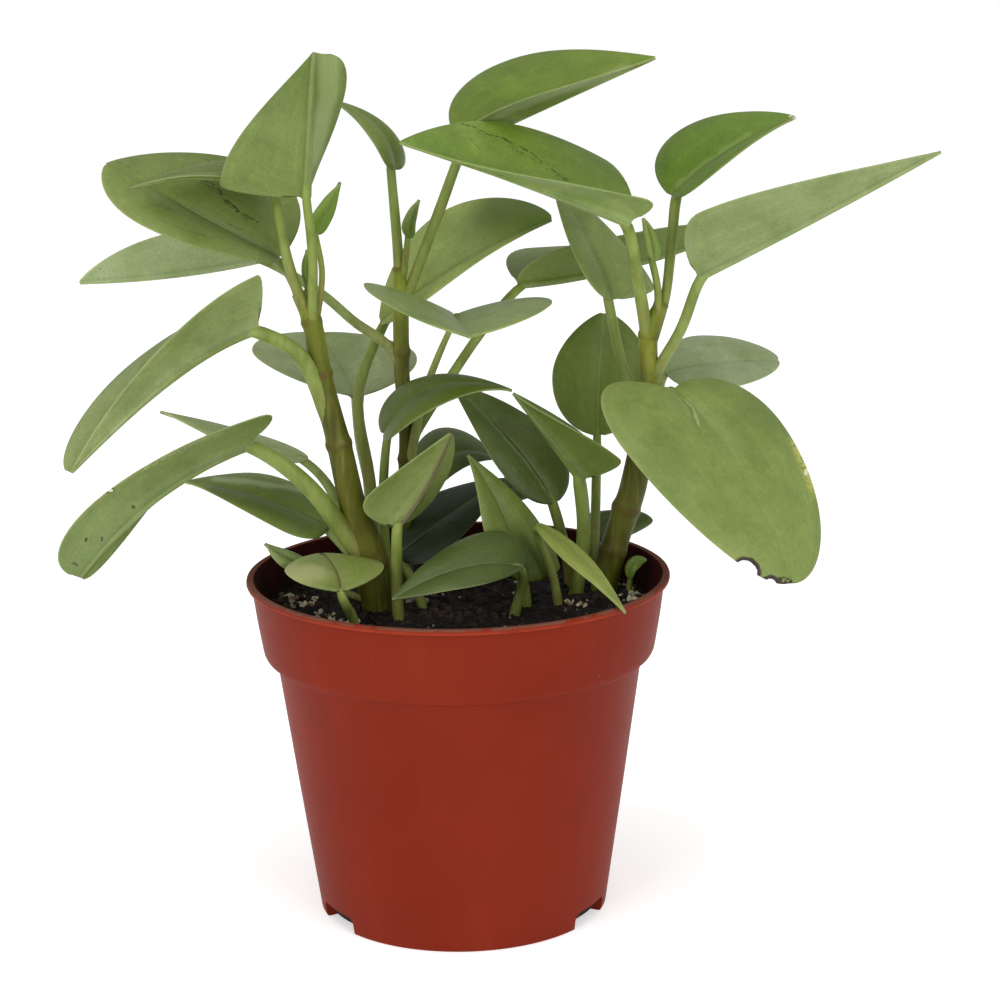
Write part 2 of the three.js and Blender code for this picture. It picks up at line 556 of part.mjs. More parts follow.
function potSolid() {
  const filled = lathe([...outline(), [0, POT_HEIGHT]]);
  const shell = lathe([
    ...outline(),
    [COLLAR_TOP_RADIUS - WALL + 0.8, POT_HEIGHT],
    [COLLAR_TOP_RADIUS - WALL, POT_HEIGHT - 1],
    [collarRadius(SHOULDER_INSIDE) - WALL, SHOULDER_INSIDE],
    [bodyRadius(COLLAR_BOTTOM) - WALL, COLLAR_BOTTOM - 1],
    [bodyRadius(FLOOR) - WALL, FLOOR],
    [0, FLOOR],
  ]);
  const roofs = union(aroundFloor(drain(WALL))).intersect(filled);
  return without(shell.add(roofs), [...aroundFloor(drain(0)), ...aroundFloor(drainHole())]);
}

function soilSolid(rooted) {
  const inside = (z) => bodyRadius(z) - WALL - GAP;
  const lump = (r, k) => SOIL_LUMPS * Math.sin(r * 0.42 + k) * Math.cos(r * 0.9 - 2 * k);
  const profile = [
    [0, FLOOR + GAP],
    [inside(FLOOR), FLOOR + GAP],
    [bodyRadius(COLLAR_BOTTOM) - WALL - GAP, COLLAR_BOTTOM - 0.7],
    [collarRadius(SHOULDER_INSIDE) - WALL - GAP, SHOULDER_INSIDE + GAP],
    [collarRadius(SOIL_TOP) - WALL - GAP, SOIL_TOP - 1],
    ...[52.2, 44, 34, 23, 12].map((r, k) => [r, SOIL_TOP + lump(r, k)]),
    [0, SOIL_TOP + 1.5],
  ];
  return without(lathe(profile), [...aroundFloor(drain(WALL + GAP)), ...rooted]);
}

// ---- Assembly -----------------------------------------------------------------------------

const group = new THREE.Group();

function addPiece(name, solid, material) {
  const mesh = new THREE.Mesh(toGeometry(solid), material);
  mesh.name = name;
  group.add(mesh);
}

const wideStems = Object.values(STEMS).map((stem) => stemSolid(stem, GAP));
const holes = Object.values(STEMS).map((stem) => stemSolid(stem, GAP));

// Where a blade's margin has been eaten away, as balls at a point with a radius.
const bite = ([x, y, z, radius]) => wasm.Manifold.sphere(radius, 16).translate([x, y, z]);

for (const [name, leaf] of Object.entries(LEAVES)) {
  const whole = without(blade(leaf).add(stalk(leaf)), (leaf.bites ?? []).map(bite));
  const cut = without(whole, wideStems).decompose().sort((a, b) => b.volume() - a.volume());
  addPiece(name, cut[0], leafGreen);
  if (leaf.stalk[0][2] < SOIL_TOP - 5) {
    const [[x, y, z], ...rest] = leaf.stalk;
    const thick = leaf.thick.map((radius) => radius + GAP);
    holes.push(stalk({ ...leaf, thick, stalk: [[x, y, z - GAP], ...rest] }));
  }
}

for (const [name, stem] of Object.entries(STEMS)) {
  const buds = stem.buds.map((bud) => blade(BUDS[bud]).add(stalk(BUDS[bud])));
  addPiece(name, buds.reduce((solid, bud) => solid.add(bud), stemSolid(stem)), stemGreen);
}

addPiece("pot", potSolid(), terracotta);
addPiece("soil", soilSolid(holes), peat);

export default group;
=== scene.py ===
import math
import random

import bpy
from mathutils import Matrix, Vector, kdtree, noise


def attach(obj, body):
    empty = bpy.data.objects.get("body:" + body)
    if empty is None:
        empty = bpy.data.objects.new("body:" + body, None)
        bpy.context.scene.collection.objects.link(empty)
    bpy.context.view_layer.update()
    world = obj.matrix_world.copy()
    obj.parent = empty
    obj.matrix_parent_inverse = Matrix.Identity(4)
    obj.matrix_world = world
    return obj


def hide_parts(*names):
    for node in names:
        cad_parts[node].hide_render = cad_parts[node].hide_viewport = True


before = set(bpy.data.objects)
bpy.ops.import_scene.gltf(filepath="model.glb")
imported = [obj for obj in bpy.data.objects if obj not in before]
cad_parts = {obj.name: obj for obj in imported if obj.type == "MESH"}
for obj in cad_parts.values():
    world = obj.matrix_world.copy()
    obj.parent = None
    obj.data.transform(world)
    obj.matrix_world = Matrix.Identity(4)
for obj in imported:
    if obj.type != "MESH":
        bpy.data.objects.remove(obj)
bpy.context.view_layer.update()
bpy.ops.object.select_all(action="DESELECT")
MM = 0.001

# ---------------------------------------------------------------------------------------------
# Pot: one injection moulding of terracotta-coloured polypropylene. A flat lip and a deep collar
# stand over a tapered wall, and four arched pockets under the floor hold the drain holes.
# ---------------------------------------------------------------------------------------------


class Field:
    """A number, vector or colour that varies over a surface."""

    def __init__(self, finish, socket):
        self.finish = finish
        self.socket = socket

    def _math(self, operation, *values):
        return self.finish.node("ShaderNodeMath", {"operation": operation}, values)

    def __add__(self, other):
        return self._math("ADD", self, other)

    def __sub__(self, other):
        return self._math("SUBTRACT", self, other)

    def __rsub__(self, other):
        return self._math("SUBTRACT", other, self)

    def __mul__(self, other):
        return self._math("MULTIPLY", self, other)

    __radd__ = __add__
    __rmul__ = __mul__

    def rise(self, low, high):
        """0 below low, 1 above high and smooth between them. With low over high it falls."""
        return self.finish.node(
            "ShaderNodeMapRange", {"interpolation_type": "SMOOTHSTEP"}, (self, low, high, 0.0, 1.0)
        )


class Finish:
    """A material of one principled surface, whose constants go straight on its sockets."""

    def __init__(self, name, **constants):
        self.material = bpy.data.materials.new(name)
        self.material.use_nodes = True
        self.nodes = self.material.node_tree.nodes
        self.shader = self.nodes["Principled BSDF"]
        for socket, value in constants.items():
            self.shader.inputs[socket.replace("_", " ")].default_value = value

    def node(self, kind, settings=None, inputs=(), output=0):
        """Adds a node: its type, its settings, the values or links of its sockets, and its output."""
        node = self.nodes.new(kind)
        for key, value in (settings or {}).items():
            setattr(node, key, value)
        for key, value in inputs.items() if isinstance(inputs, dict) else enumerate(inputs):
            if isinstance(value, Field):
                self.material.node_tree.links.new(value.socket, node.inputs[key])
            else:
                node.inputs[key].default_value = value
        return Field(self, node.outputs[output])

    def place(self):
        return self.node("ShaderNodeTexCoord", output="Object")

    def along(self, name, output="Fac"):
        return self.node("ShaderNodeAttribute", {"attribute_name": name}, output=output)

    def scaled(self, vector, *factors):
        return self.node("ShaderNodeVectorMath", {"operation": "MULTIPLY"}, (vector, factors))

    def clouds(self, vector, scale, detail=3.0, roughness=0.55):
        values = {"Vector": vector, "Scale": scale, "Detail": detail, "Roughness": roughness}
        return self.node("ShaderNodeTexNoise", None, values)

    def cells(self, vector, scale):
        return self.node("ShaderNodeTexVoronoi", None, {"Vector": vector, "Scale": scale}, "Distance")

    def blend(self, mask, first, second, kind="MIX"):
        settings = {"data_type": "RGBA", "blend_type": kind, "clamp_factor": True}
        return self.node("ShaderNodeMix", settings, {0: mask, 6: first, 7: second}, 2)

    def color(self, field):
        self.material.node_tree.links.new(field.socket, self.shader.inputs["Base Color"])

    def rough(self, field):
        self.material.node_tree.links.new(field.socket, self.shader.inputs["Roughness"])

    def relief(self, height, distance, strength=1.0):
        values = {"Strength": strength, "Distance": distance, "Height": height}
        bump = self.node("ShaderNodeBump", None, values)
        self.material.node_tree.links.new(bump.socket, self.shader.inputs["Normal"])


def rgb(red, green, blue):
    """A colour as seen on a screen, 0 to 255, as the linear colour that a shader takes."""
    shares = [c / 255 for c in (red, green, blue)]
    linear = [c / 12.92 if c <= 0.04045 else ((c + 0.055) / 1.055) ** 2.4 for c in shares]
    return (*linear, 1.0)


def own(piece, slot, *nodes):
    """Finishes a piece: it stands for the CAD nodes. Its slot is not used."""
    bpy.ops.object.select_all(action="DESELECT")
    piece.select_set(True)
    bpy.context.view_layer.objects.active = piece
    bpy.ops.object.transform_apply(location=True, rotation=True, scale=True)
    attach(piece, "root")
    if nodes:
        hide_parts(*nodes)


def turned(name, outline, sides):
    """A closed round body that grows ring by ring from the middle of its underside."""
    radius, height = outline[0]
    bpy.ops.mesh.primitive_circle_add(
        vertices=sides, radius=radius * MM, location=(0, 0, height * MM), fill_type="NGON"
    )
    piece = bpy.context.object
    piece.name = name
    bpy.ops.object.transform_apply(location=True)
    bpy.ops.object.mode_set(mode="EDIT")
    bpy.ops.mesh.select_all(action="SELECT")
    for next_radius, next_height in outline[1:]:
        rise = (0, 0, (next_height - height) * MM)
        bpy.ops.mesh.extrude_region_move(TRANSFORM_OT_translate={"value": rise})
        share = next_radius / radius
        bpy.ops.transform.resize(value=(share, share, 1), center_override=(0, 0, 0))
        radius, height = next_radius, next_height
    bpy.ops.mesh.select_all(action="SELECT")
    bpy.ops.mesh.normals_make_consistent(inside=False)
    bpy.ops.object.mode_set(mode="OBJECT")
    return piece


def carve(piece, tool, operation):
    """Cuts, joins or trims a piece with a tool, which is then thrown away."""
    bpy.context.view_layer.objects.active = piece
    cut = piece.modifiers.new("carve", "BOOLEAN")
    cut.operation = operation
    cut.solver = "EXACT"
    cut.object = tool
    bpy.ops.object.modifier_apply(modifier=cut.name)
    bpy.data.objects.remove(tool)


RIM_RADIUS = 60
POT_HEIGHT = 98.2
FOOT_RADIUS = 41.5
FLOOR_TOP = 1.6
POCKET_ANGLES = (60, 120, 240, 300)
POCKET_WIDTH = 16.6
POCKET_HEIGHT = 6
POCKET_START = 26  # how far from the middle of the pot a pocket begins
POCKET_ROOF = 1.3  # the plastic's thickness over a pocket
DRAIN_HOLE_RADIUS = 3.5
DRAIN_HOLE_OUT = 33  # how far from the middle of the pot a drain hole lies


def arch_bar(angle, extra, length):
    """A bar with two rounded upper edges: the inside of a drain pocket, or its roof outside."""
    width = POCKET_WIDTH + 2 * extra
    height = POCKET_HEIGHT + extra
    bpy.ops.mesh.primitive_cube_add(size=1, scale=(width * MM, length * MM, height * MM))
    bar = bpy.context.object
    middle = POCKET_START - extra + length / 2
    bar.location = (0, middle * MM, (height / 2 - 1) * MM)
    bpy.ops.object.transform_apply(location=True, scale=True)
    for edge in bar.data.edges:
        ends = [bar.data.vertices[k].co for k in edge.vertices]
        along = abs(ends[0].y - ends[1].y) > 5 * MM
        edge.select = along and min(end.z for end in ends) > 0
    bpy.ops.object.mode_set(mode="EDIT")
    bpy.ops.mesh.bevel(offset=(2 + extra) * MM, segments=5, affect="EDGES")
    bpy.ops.object.mode_set(mode="OBJECT")
    bar.rotation_euler.z = math.radians(angle)
    bpy.ops.object.transform_apply(rotation=True)
    return bar


wall = [(40.7, 0), (41.2, 0.12), (FOOT_RADIUS, 0.5), (46.6, 36), (51.95, 74)]
shoulder = [(52.3, 74.8), (52.8, 75.25), (53.6, 75.5), (54.5, 75.75), (55.2, 76.3), (55.65, 77.2)]
collar = [(55.9, 78.4), (57.3, 87), (58.5, 96.2), (58.8, 96.6)]
lip = [(59.5, 96.6), (59.85, 96.75), (RIM_RADIUS, 97.1), (RIM_RADIUS, 97.6), (59.85, 98),
       (59.5, POT_HEIGHT), (58.3, POT_HEIGHT), (57.8, 98)]
within = [(57.4, 97.3), (54.6, 77), (50.8, 74.6), (40.4, 3.2), (39.3, 1.8), (38.2, FLOOR_TOP),
          (12, FLOOR_TOP), (2, FLOOR_TOP)]
pot = turned("pot_shell", wall + shoulder + collar + lip + within, 160)
for pocket_angle in POCKET_ANGLES:
    roof = arch_bar(pocket_angle, POCKET_ROOF, 17)
    # The cone ends just inside the wall's outer face, and the roof is trimmed to it.
    bpy.ops.mesh.primitive_cone_add(
        vertices=160, radius1=41.0 * MM, radius2=42.4 * MM, depth=9 * MM, location=(0, 0, 4.6 * MM)
    )
    carve(roof, bpy.context.object, "INTERSECT")
    carve(pot, roof, "UNION")
for pocket_angle in POCKET_ANGLES:
    carve(pot, arch_bar(pocket_angle, 0, 20), "DIFFERENCE")
    bpy.ops.mesh.primitive_cylinder_add(vertices=32, radius=DRAIN_HOLE_RADIUS * MM, depth=6 * MM)
    drain_hole = bpy.context.object
    turn = Matrix.Rotation(math.radians(pocket_angle), 4, "Z")
    drain_hole.location = turn @ Vector((0, DRAIN_HOLE_OUT * MM, 5.6 * MM))
    bpy.ops.object.transform_apply(location=True)
    carve(pot, drain_hole, "DIFFERENCE")
bpy.ops.object.select_all(action="DESELECT")
pot.select_set(True)
bpy.context.view_layer.objects.active = pot
bpy.ops.object.shade_smooth_by_angle(angle=math.radians(25))

plastic = Finish("terracotta_plastic", Specular_IOR_Level=0.05)
where = plastic.place()
height = plastic.node("ShaderNodeSeparateXYZ", None, (where,), 2)
patches = plastic.clouds(where, 22.0)
streaks = plastic.clouds(plastic.scaled(where, 1, 1, 0.15), 90.0)
clay = plastic.blend(patches.rise(0.35, 0.65), rgb(115, 35, 19), rgb(121, 38, 21))
clay = plastic.blend(streaks.rise(0.5, 0.8) * 0.15, clay, rgb(142, 50, 30))
# Painted highlight: a lighter band round the outer edge of the lip.
lip_highlight = height.rise(96.5 * MM, 96.8 * MM) * height.rise(97.7 * MM, 97.3 * MM)
clay = plastic.blend(lip_highlight * plastic.clouds(where, 70.0).rise(0.3, 0.6) * 0.4, clay, rgb(170, 66, 42))
dust = height.rise(97.6 * MM, 98.0 * MM) * plastic.clouds(where, 160.0, 4.0).rise(0.3, 0.55)
clay = plastic.blend(dust * 0.85, clay, rgb(112, 76, 62))
from_axis = plastic.node(
    "ShaderNodeVectorMath", {"operation": "LENGTH"}, (plastic.scaled(where, 1, 1, 0),), 1
)
wall_middle = 43.9 * MM + 0.144 * height  # it leans outwards; what lies nearer the axis is inside
inside = (wall_middle - from_axis).rise(-0.0002, 0.0002) * height.rise(76.5 * MM, 77.5 * MM)
# Painted shade: the inside of the wall above the soil is much darker red.
clay = plastic.blend(inside, clay, rgb(52, 15, 11))
# Darker still in patches and deeper down: peat smears, and painted shade that grows towards the soil.
smears_and_depth_shade = plastic.clouds(plastic.scaled(where, 1, 1, 0.4), 120.0, 4.0) + 22.0 * (94 * MM - height)
clay = plastic.blend(inside * smears_and_depth_shade.rise(0.4, 0.62) * 0.8, clay, rgb(34, 20, 16))
specks = plastic.cells(where, 130.0).rise(0.09, 0.05) * plastic.clouds(where, 31.0).rise(0.62, 0.7)
clay = plastic.blend(specks * 0.8, clay, rgb(70, 30, 22))
grit = plastic.cells(where, 420.0).rise(0.1, 0.06) * plastic.clouds(where, 55.0).rise(0.58, 0.66)
clay = plastic.blend(grit * height.rise(60 * MM, 90 * MM) * 0.7, clay, rgb(176, 112, 84))
plastic.color(clay)
plastic.rough(0.42 + 0.14 * patches + 0.25 * dust + 0.3 * inside)
plastic.relief(plastic.clouds(where, 900.0, 2.0) + 2.0 * plastic.clouds(where, 60.0), 0.00012, 0.5)
pot.data.materials.append(plastic.material)
own(pot, "pot", "pot")

# ---------------------------------------------------------------------------------------------
# Soil: peat potting mix pressed into the pot by hand, with its uneven top about 10 mm below the
# rim. Bark crumbs and white perlite grains lie in it.
# ---------------------------------------------------------------------------------------------

SOIL_TOP = 88.5


def soil_height(x, y):
    """Height in mm of the soil's surface at a place, which sinks a little towards the pot's wall."""
    spot = Vector((x * 0.045, y * 0.045, 3.7))
    fine = Vector((x * 0.23, y * 0.23, 9.1))
    finer = Vector((x * 0.61, y * 0.61, 1.3))
    lumps = 1.5 * noise.noise(spot) + 0.9 * noise.noise(fine) + 0.45 * noise.noise(finer)
    return SOIL_TOP - 0.2 + lumps - 0.02 * max(0.0, math.hypot(x, y) - 47)


soil_side = [(39.6, 2), (40, 2.2), (50.3, 74.4), (53.6, 77.2), (55.5, 87.8)]
soil_rings = [(55.2 - 0.9 * k, SOIL_TOP) for k in range(61)]
soil = turned("soil_block", soil_side + soil_rings, 180)
for corner in soil.data.vertices:
    x, y, z = corner.co / MM
    if z > SOIL_TOP - 0.1:
        corner.co.z = soil_height(x, y) * MM
bpy.ops.object.shade_smooth()
peat = Finish("potting_soil", Specular_IOR_Level=0.25)
where = peat.place()
crumbs = peat.clouds(where, 420.0, 6.0, 0.7)
earth = peat.blend(crumbs.rise(0.35, 0.7), rgb(11, 8, 6), rgb(38, 28, 22))
earth = peat.blend(peat.cells(where, 700.0).rise(0.25, 0.1) * 0.25, earth, rgb(88, 68, 50))
peat.color(earth)
peat.rough(1.0 - 0.15 * crumbs)
peat.relief(crumbs + 0.6 * peat.cells(where, 520.0), 0.0012)
soil.data.materials.append(peat.material)
own(soil, "soil", "soil")

bark = Finish("bark_crumbs", Roughness=0.9)
where = bark.place()
grain = bark.clouds(where, 260.0, 4.0)
hue = bark.clouds(where, 55.0, 1.0)
brown = bark.blend(hue.rise(0.35, 0.65), rgb(14, 9, 7), rgb(40, 27, 19))
bark.color(bark.blend(grain.rise(0.4, 0.8) * 0.35, brown, rgb(78, 56, 38)))
bark.relief(grain, 0.0004)
perlite = Finish("perlite_grains", Roughness=0.85)
where = perlite.place()
dirt = perlite.clouds(where, 380.0, 4.0)
perlite.color(perlite.blend(dirt.rise(0.4, 0.62), rgb(206, 198, 172), rgb(112, 90, 64)))
perlite.relief(dirt, 0.0003)


SOIL_REACH = 54  # how far from the middle of the pot grains lie


def fuse(piece, *others):
    """Makes other pieces part of a piece."""
    bpy.ops.object.select_all(action="DESELECT")
    for each in (piece, *others):
        each.select_set(True)
    bpy.context.view_layer.objects.active = piece
    bpy.ops.object.join()


def scatter(name, finish, spread, count, sizes, squash, seed):
    """Small grains that lie half sunk in the soil, all in one piece."""
    chance = random.Random(seed)
    bpy.ops.mesh.primitive_ico_sphere_add(subdivisions=1, radius=1)
    model = bpy.context.object
    bpy.ops.object.mode_set(mode="EDIT")
    bpy.ops.mesh.bevel(offset=0.25, segments=1, affect="EDGES")
    bpy.ops.object.mode_set(mode="OBJECT")
    grains = []
    while len(grains) < count:
        x, y = spread(chance)
        if math.hypot(x, y) > SOIL_REACH:
            continue
        size = chance.uniform(*sizes)
        grain = model.copy()
        grain.data = model.data.copy()
        bpy.context.collection.objects.link(grain)
        for vertex in grain.data.vertices:
            vertex.co *= 1 + 0.35 * noise.noise(vertex.co * 1.7 + Vector((x, y, size)))
        shape = [size * chance.uniform(*squash) * MM for _ in range(3)]
        angles = [chance.uniform(0, 6.28) for _ in range(3)]
        matrix = Matrix.Translation(Vector((x, y, soil_height(x, y) + 0.15 * size)) * MM)
        for angle, axis in zip(angles, "XYZ"):
            matrix = matrix @ Matrix.Rotation(angle, 4, axis)
        matrix = matrix @ Matrix.Diagonal((*shape, 1))
        grain.data.transform(matrix)
        grains.append(grain)
    bpy.data.objects.remove(model)
    fuse(*grains)
    heap = grains[0]
    heap.name = name
    heap.data.materials.append(finish.material)
    own(heap, "soil")


def anywhere(chance):
    """A place drawn evenly over the whole of the soil."""
    angle = chance.uniform(0, 2 * math.pi)
    radius = SOIL_REACH * math.sqrt(chance.random())
    return radius * math.cos(angle), radius * math.sin(angle)


# The middles of the perlite heaps. The two largest are listed twice, one of them 1 mm further back.
HEAPS = [(-51, 16), (-45, 6), (-45, 6), (-38, -9), (-32, -17), (51, 18), (50, 6), (50, 7), (33, -5),
         (-12, 8)]


def by_the_heaps(chance):
    """A place in one of the heaps, most of which lie along the pot's wall."""
    heap = chance.choice(HEAPS)
    return heap[0] + chance.gauss(0, 2.0), heap[1] + chance.gauss(0, 2.6)


scatter("soil_bark_crumbs", bark, anywhere, count=760, sizes=(0.4, 1.7), squash=(0.5, 1.3), seed=11)
scatter("soil_perlite_heaps", perlite, by_the_heaps, count=190, sizes=(0.3, 1.2), squash=(0.7, 1.2), seed=5)
scatter("soil_perlite", perlite, anywhere, count=90, sizes=(0.2, 0.7), squash=(0.7, 1.2), seed=8)

# ---------------------------------------------------------------------------------------------
# Stems: three fleshy jointed shoots. Each joint is a slightly swollen ring where leaf stalks
# leave. The skin is a freckled olive, browner at the joints and paler towards the young tip.
# ---------------------------------------------------------------------------------------------


def curve_at(points, share):
    """A smooth curve through the points: its place and direction at a share of its length."""
    place = share * (len(points) - 1)
    k = min(int(place), len(points) - 2)
    t = place - k
    a, b = Vector(points[k]), Vector(points[k + 1])
    before = Vector(points[k - 1]) if k else a * 2 - b
    after = Vector(points[k + 2]) if k + 2 < len(points) else b * 2 - a
    p = 0.5 * (2 * a + (b - before) * t + (2 * before - 5 * a + 4 * b - after) * t**2
               + (3 * a - before - 3 * b + after) * t**3)
    d = 0.5 * ((b - before) + 2 * (2 * before - 5 * a + 4 * b - after) * t
               + 3 * (3 * a - before - 3 * b + after) * t**2)
    return p, d.normalized()


def even_points(points, count):
    """The shares at which points stand evenly along the smooth curve, and its length in mm."""
    steps = 24 * (len(points) - 1)
    shares = [k / steps for k in range(steps + 1)]
    spots = [curve_at(points, share)[0] for share in shares]
    lengths = [0.0]
    for a, b in zip(spots, spots[1:]):
        lengths.append(lengths[-1] + (b - a).length)
    result = []
    k = 0
    for i in range(count + 1):
        goal = lengths[-1] * i / count
        while k < steps - 1 and lengths[k + 1] < goal:
            k += 1
        t = (goal - lengths[k]) / (lengths[k + 1] - lengths[k])
        result.append(shares[k] + t * (shares[k + 1] - shares[k]))
    return result, lengths[-1]


def rolled(name, rows, columns, corner):
    """A grid whose every corner is put in place, rolled up until its long sides meet."""
    bpy.ops.mesh.primitive_grid_add(x_subdivisions=rows, y_subdivisions=columns, size=1)
    piece = bpy.context.object
    piece.name = name
    for vertex in piece.data.vertices:
        row = round((vertex.co.x + 0.5) * rows)
        column = round((vertex.co.y + 0.5) * columns)
        vertex.co = corner(row, column)
    return piece


def note(piece, name, values, kind="FLOAT"):
    """Writes a value for each corner of a piece, which its finish reads."""
    layer = piece.data.attributes.new(name, kind, "POINT")
    field = {"FLOAT": "value", "FLOAT_COLOR": "color", "FLOAT_VECTOR": "vector"}[kind]
    layer.data.foreach_set(field, values)


def close_up(piece):
    """Joins a rolled grid's meeting sides, fills its ends and points its faces outwards."""
    bpy.context.view_layer.objects.active = piece
    bpy.ops.object.mode_set(mode="EDIT")
    bpy.ops.mesh.select_all(action="SELECT")
    bpy.ops.mesh.remove_doubles(threshold=1e-6)
    bpy.ops.mesh.fill_holes(sides=0)
    bpy.ops.mesh.select_all(action="SELECT")
    bpy.ops.mesh.normals_make_consistent(inside=False)
    bpy.ops.object.mode_set(mode="OBJECT")
    bpy.ops.object.shade_smooth_by_angle(angle=math.radians(50))


JOINT_SWELL = 0.45  # how far a joint's ring stands out, in mm
JOINT_REACH = 1.2  # how far along the stem it swells
JOINT_STAIN = 1.5  # how far along the stem it is brown
ROUND_END = 1.6  # over what length a shoot's end is rounded
LUMPY = 0.06  # how far a shoot is from round, as a share of its radius


def tube(name, points, radii, rows, sides, joints=()):
    """A round shoot along a smooth curve, with a swollen ring at the height of each joint."""
    shares, length = even_points(points, rows)
    rings = []
    side = Vector((1, 0, 0))
    for share in shares:
        center, ahead = curve_at(points, share)
        side = (side - ahead * side.dot(ahead)).normalized()
        k = min(int(share * (len(radii) - 1)), len(radii) - 2)
        radius = radii[k] + (share * (len(radii) - 1) - k) * (radii[k + 1] - radii[k])
        joint = max((math.exp(-(((center.z - z) / JOINT_STAIN) ** 2)) for z in joints), default=0.0)
        radius += sum(JOINT_SWELL * math.exp(-(((center.z - z) / JOINT_REACH) ** 2)) for z in joints)
        to_end = min(1.0, min(share, 1 - share) * length / ROUND_END + 0.1)
        radius *= math.sqrt(1 - (1 - to_end) ** 2)
        rings.append((center, side, ahead.cross(side), radius, joint, share))

    def corner(row, column):
        center, u, v, radius, _, _ = rings[row]
        angle = 2 * math.pi * (column % sides) / sides
        around = Vector((3 * math.cos(angle), 3 * math.sin(angle), 0)) * 0.4
        bump = 1 + LUMPY * noise.noise(center * 0.11 + around)
        return (center + radius * bump * (u * math.cos(angle) + v * math.sin(angle))) * MM

    shoot = rolled(name, rows, sides, corner)
    ring_of = [rings[index % (rows + 1)] for index in range(len(shoot.data.vertices))]
    note(shoot, "joint", [ring[4] for ring in ring_of])
    note(shoot, "length", [ring[5] for ring in ring_of])
    close_up(shoot)
    return shoot


skin = Finish("stem_skin", Specular_IOR_Level=0.22)
where = skin.place()
joint = skin.along("joint")
mottle = skin.clouds(skin.scaled(where, 1, 1, 0.35), 170.0, 4.0)
old = skin.blend(mottle.rise(0.35, 0.65), rgb(64, 66, 10), rgb(92, 94, 20))
young = skin.blend(mottle.rise(0.35, 0.65), rgb(106, 116, 30), rgb(138, 146, 48))
olive = skin.blend(skin.along("length").rise(0.6, 0.92), old, young)
freckles = skin.clouds(where, 900.0, 2.0).rise(0.56, 0.68)
olive = skin.blend(freckles * 0.3, olive, rgb(104, 70, 34))
long_streaks = skin.clouds(skin.scaled(where, 1, 1, 0.08), 420.0, 3.0)
olive = skin.blend(long_streaks.rise(0.5, 0.72) * 0.35, olive, rgb(140, 142, 70))
brown_rings = joint.rise(0.3, 0.9) * skin.clouds(where, 300.0).rise(0.3, 0.6)
olive = skin.blend(brown_rings * 0.5, olive, rgb(84, 58, 26))
skin.color(olive)
skin.rough(0.42 + 0.2 * mottle)
skin.relief(mottle + 0.4 * skin.clouds(where, 1400.0, 2.0) + 0.5 * long_streaks, 0.0004, 0.6)

# ---------------------------------------------------------------------------------------------
# Leaves: each is one fleshy waxy blade on a round stalk. The blade folds along its midrib, which
# runs on from the stalk as a keel underneath, puffs up a little on both sides of it, and has a
# thin pale margin.
# ---------------------------------------------------------------------------------------------


def beside(finish, where, start, end):
    """Distance from the line between two places on a blade."""
    start, way = Vector((*start, 0)), Vector((end[0] - start[0], end[1] - start[1], 0))
    away = finish.node("ShaderNodeVectorMath", {"operation": "SUBTRACT"}, (where, start))
    along = finish.node("ShaderNodeVectorMath", {"operation": "DOT_PRODUCT"}, (away, way), 1)
    share = finish.node(
        "ShaderNodeMath", {"operation": "MULTIPLY", "use_clamp": True}, (along, 1 / way.length_squared)
    )
    foot = finish.node("ShaderNodeVectorMath", {"operation": "SCALE"}, {0: way, "Scale": share})
    return finish.node("ShaderNodeVectorMath", {"operation": "DISTANCE"}, (away, foot), 1)


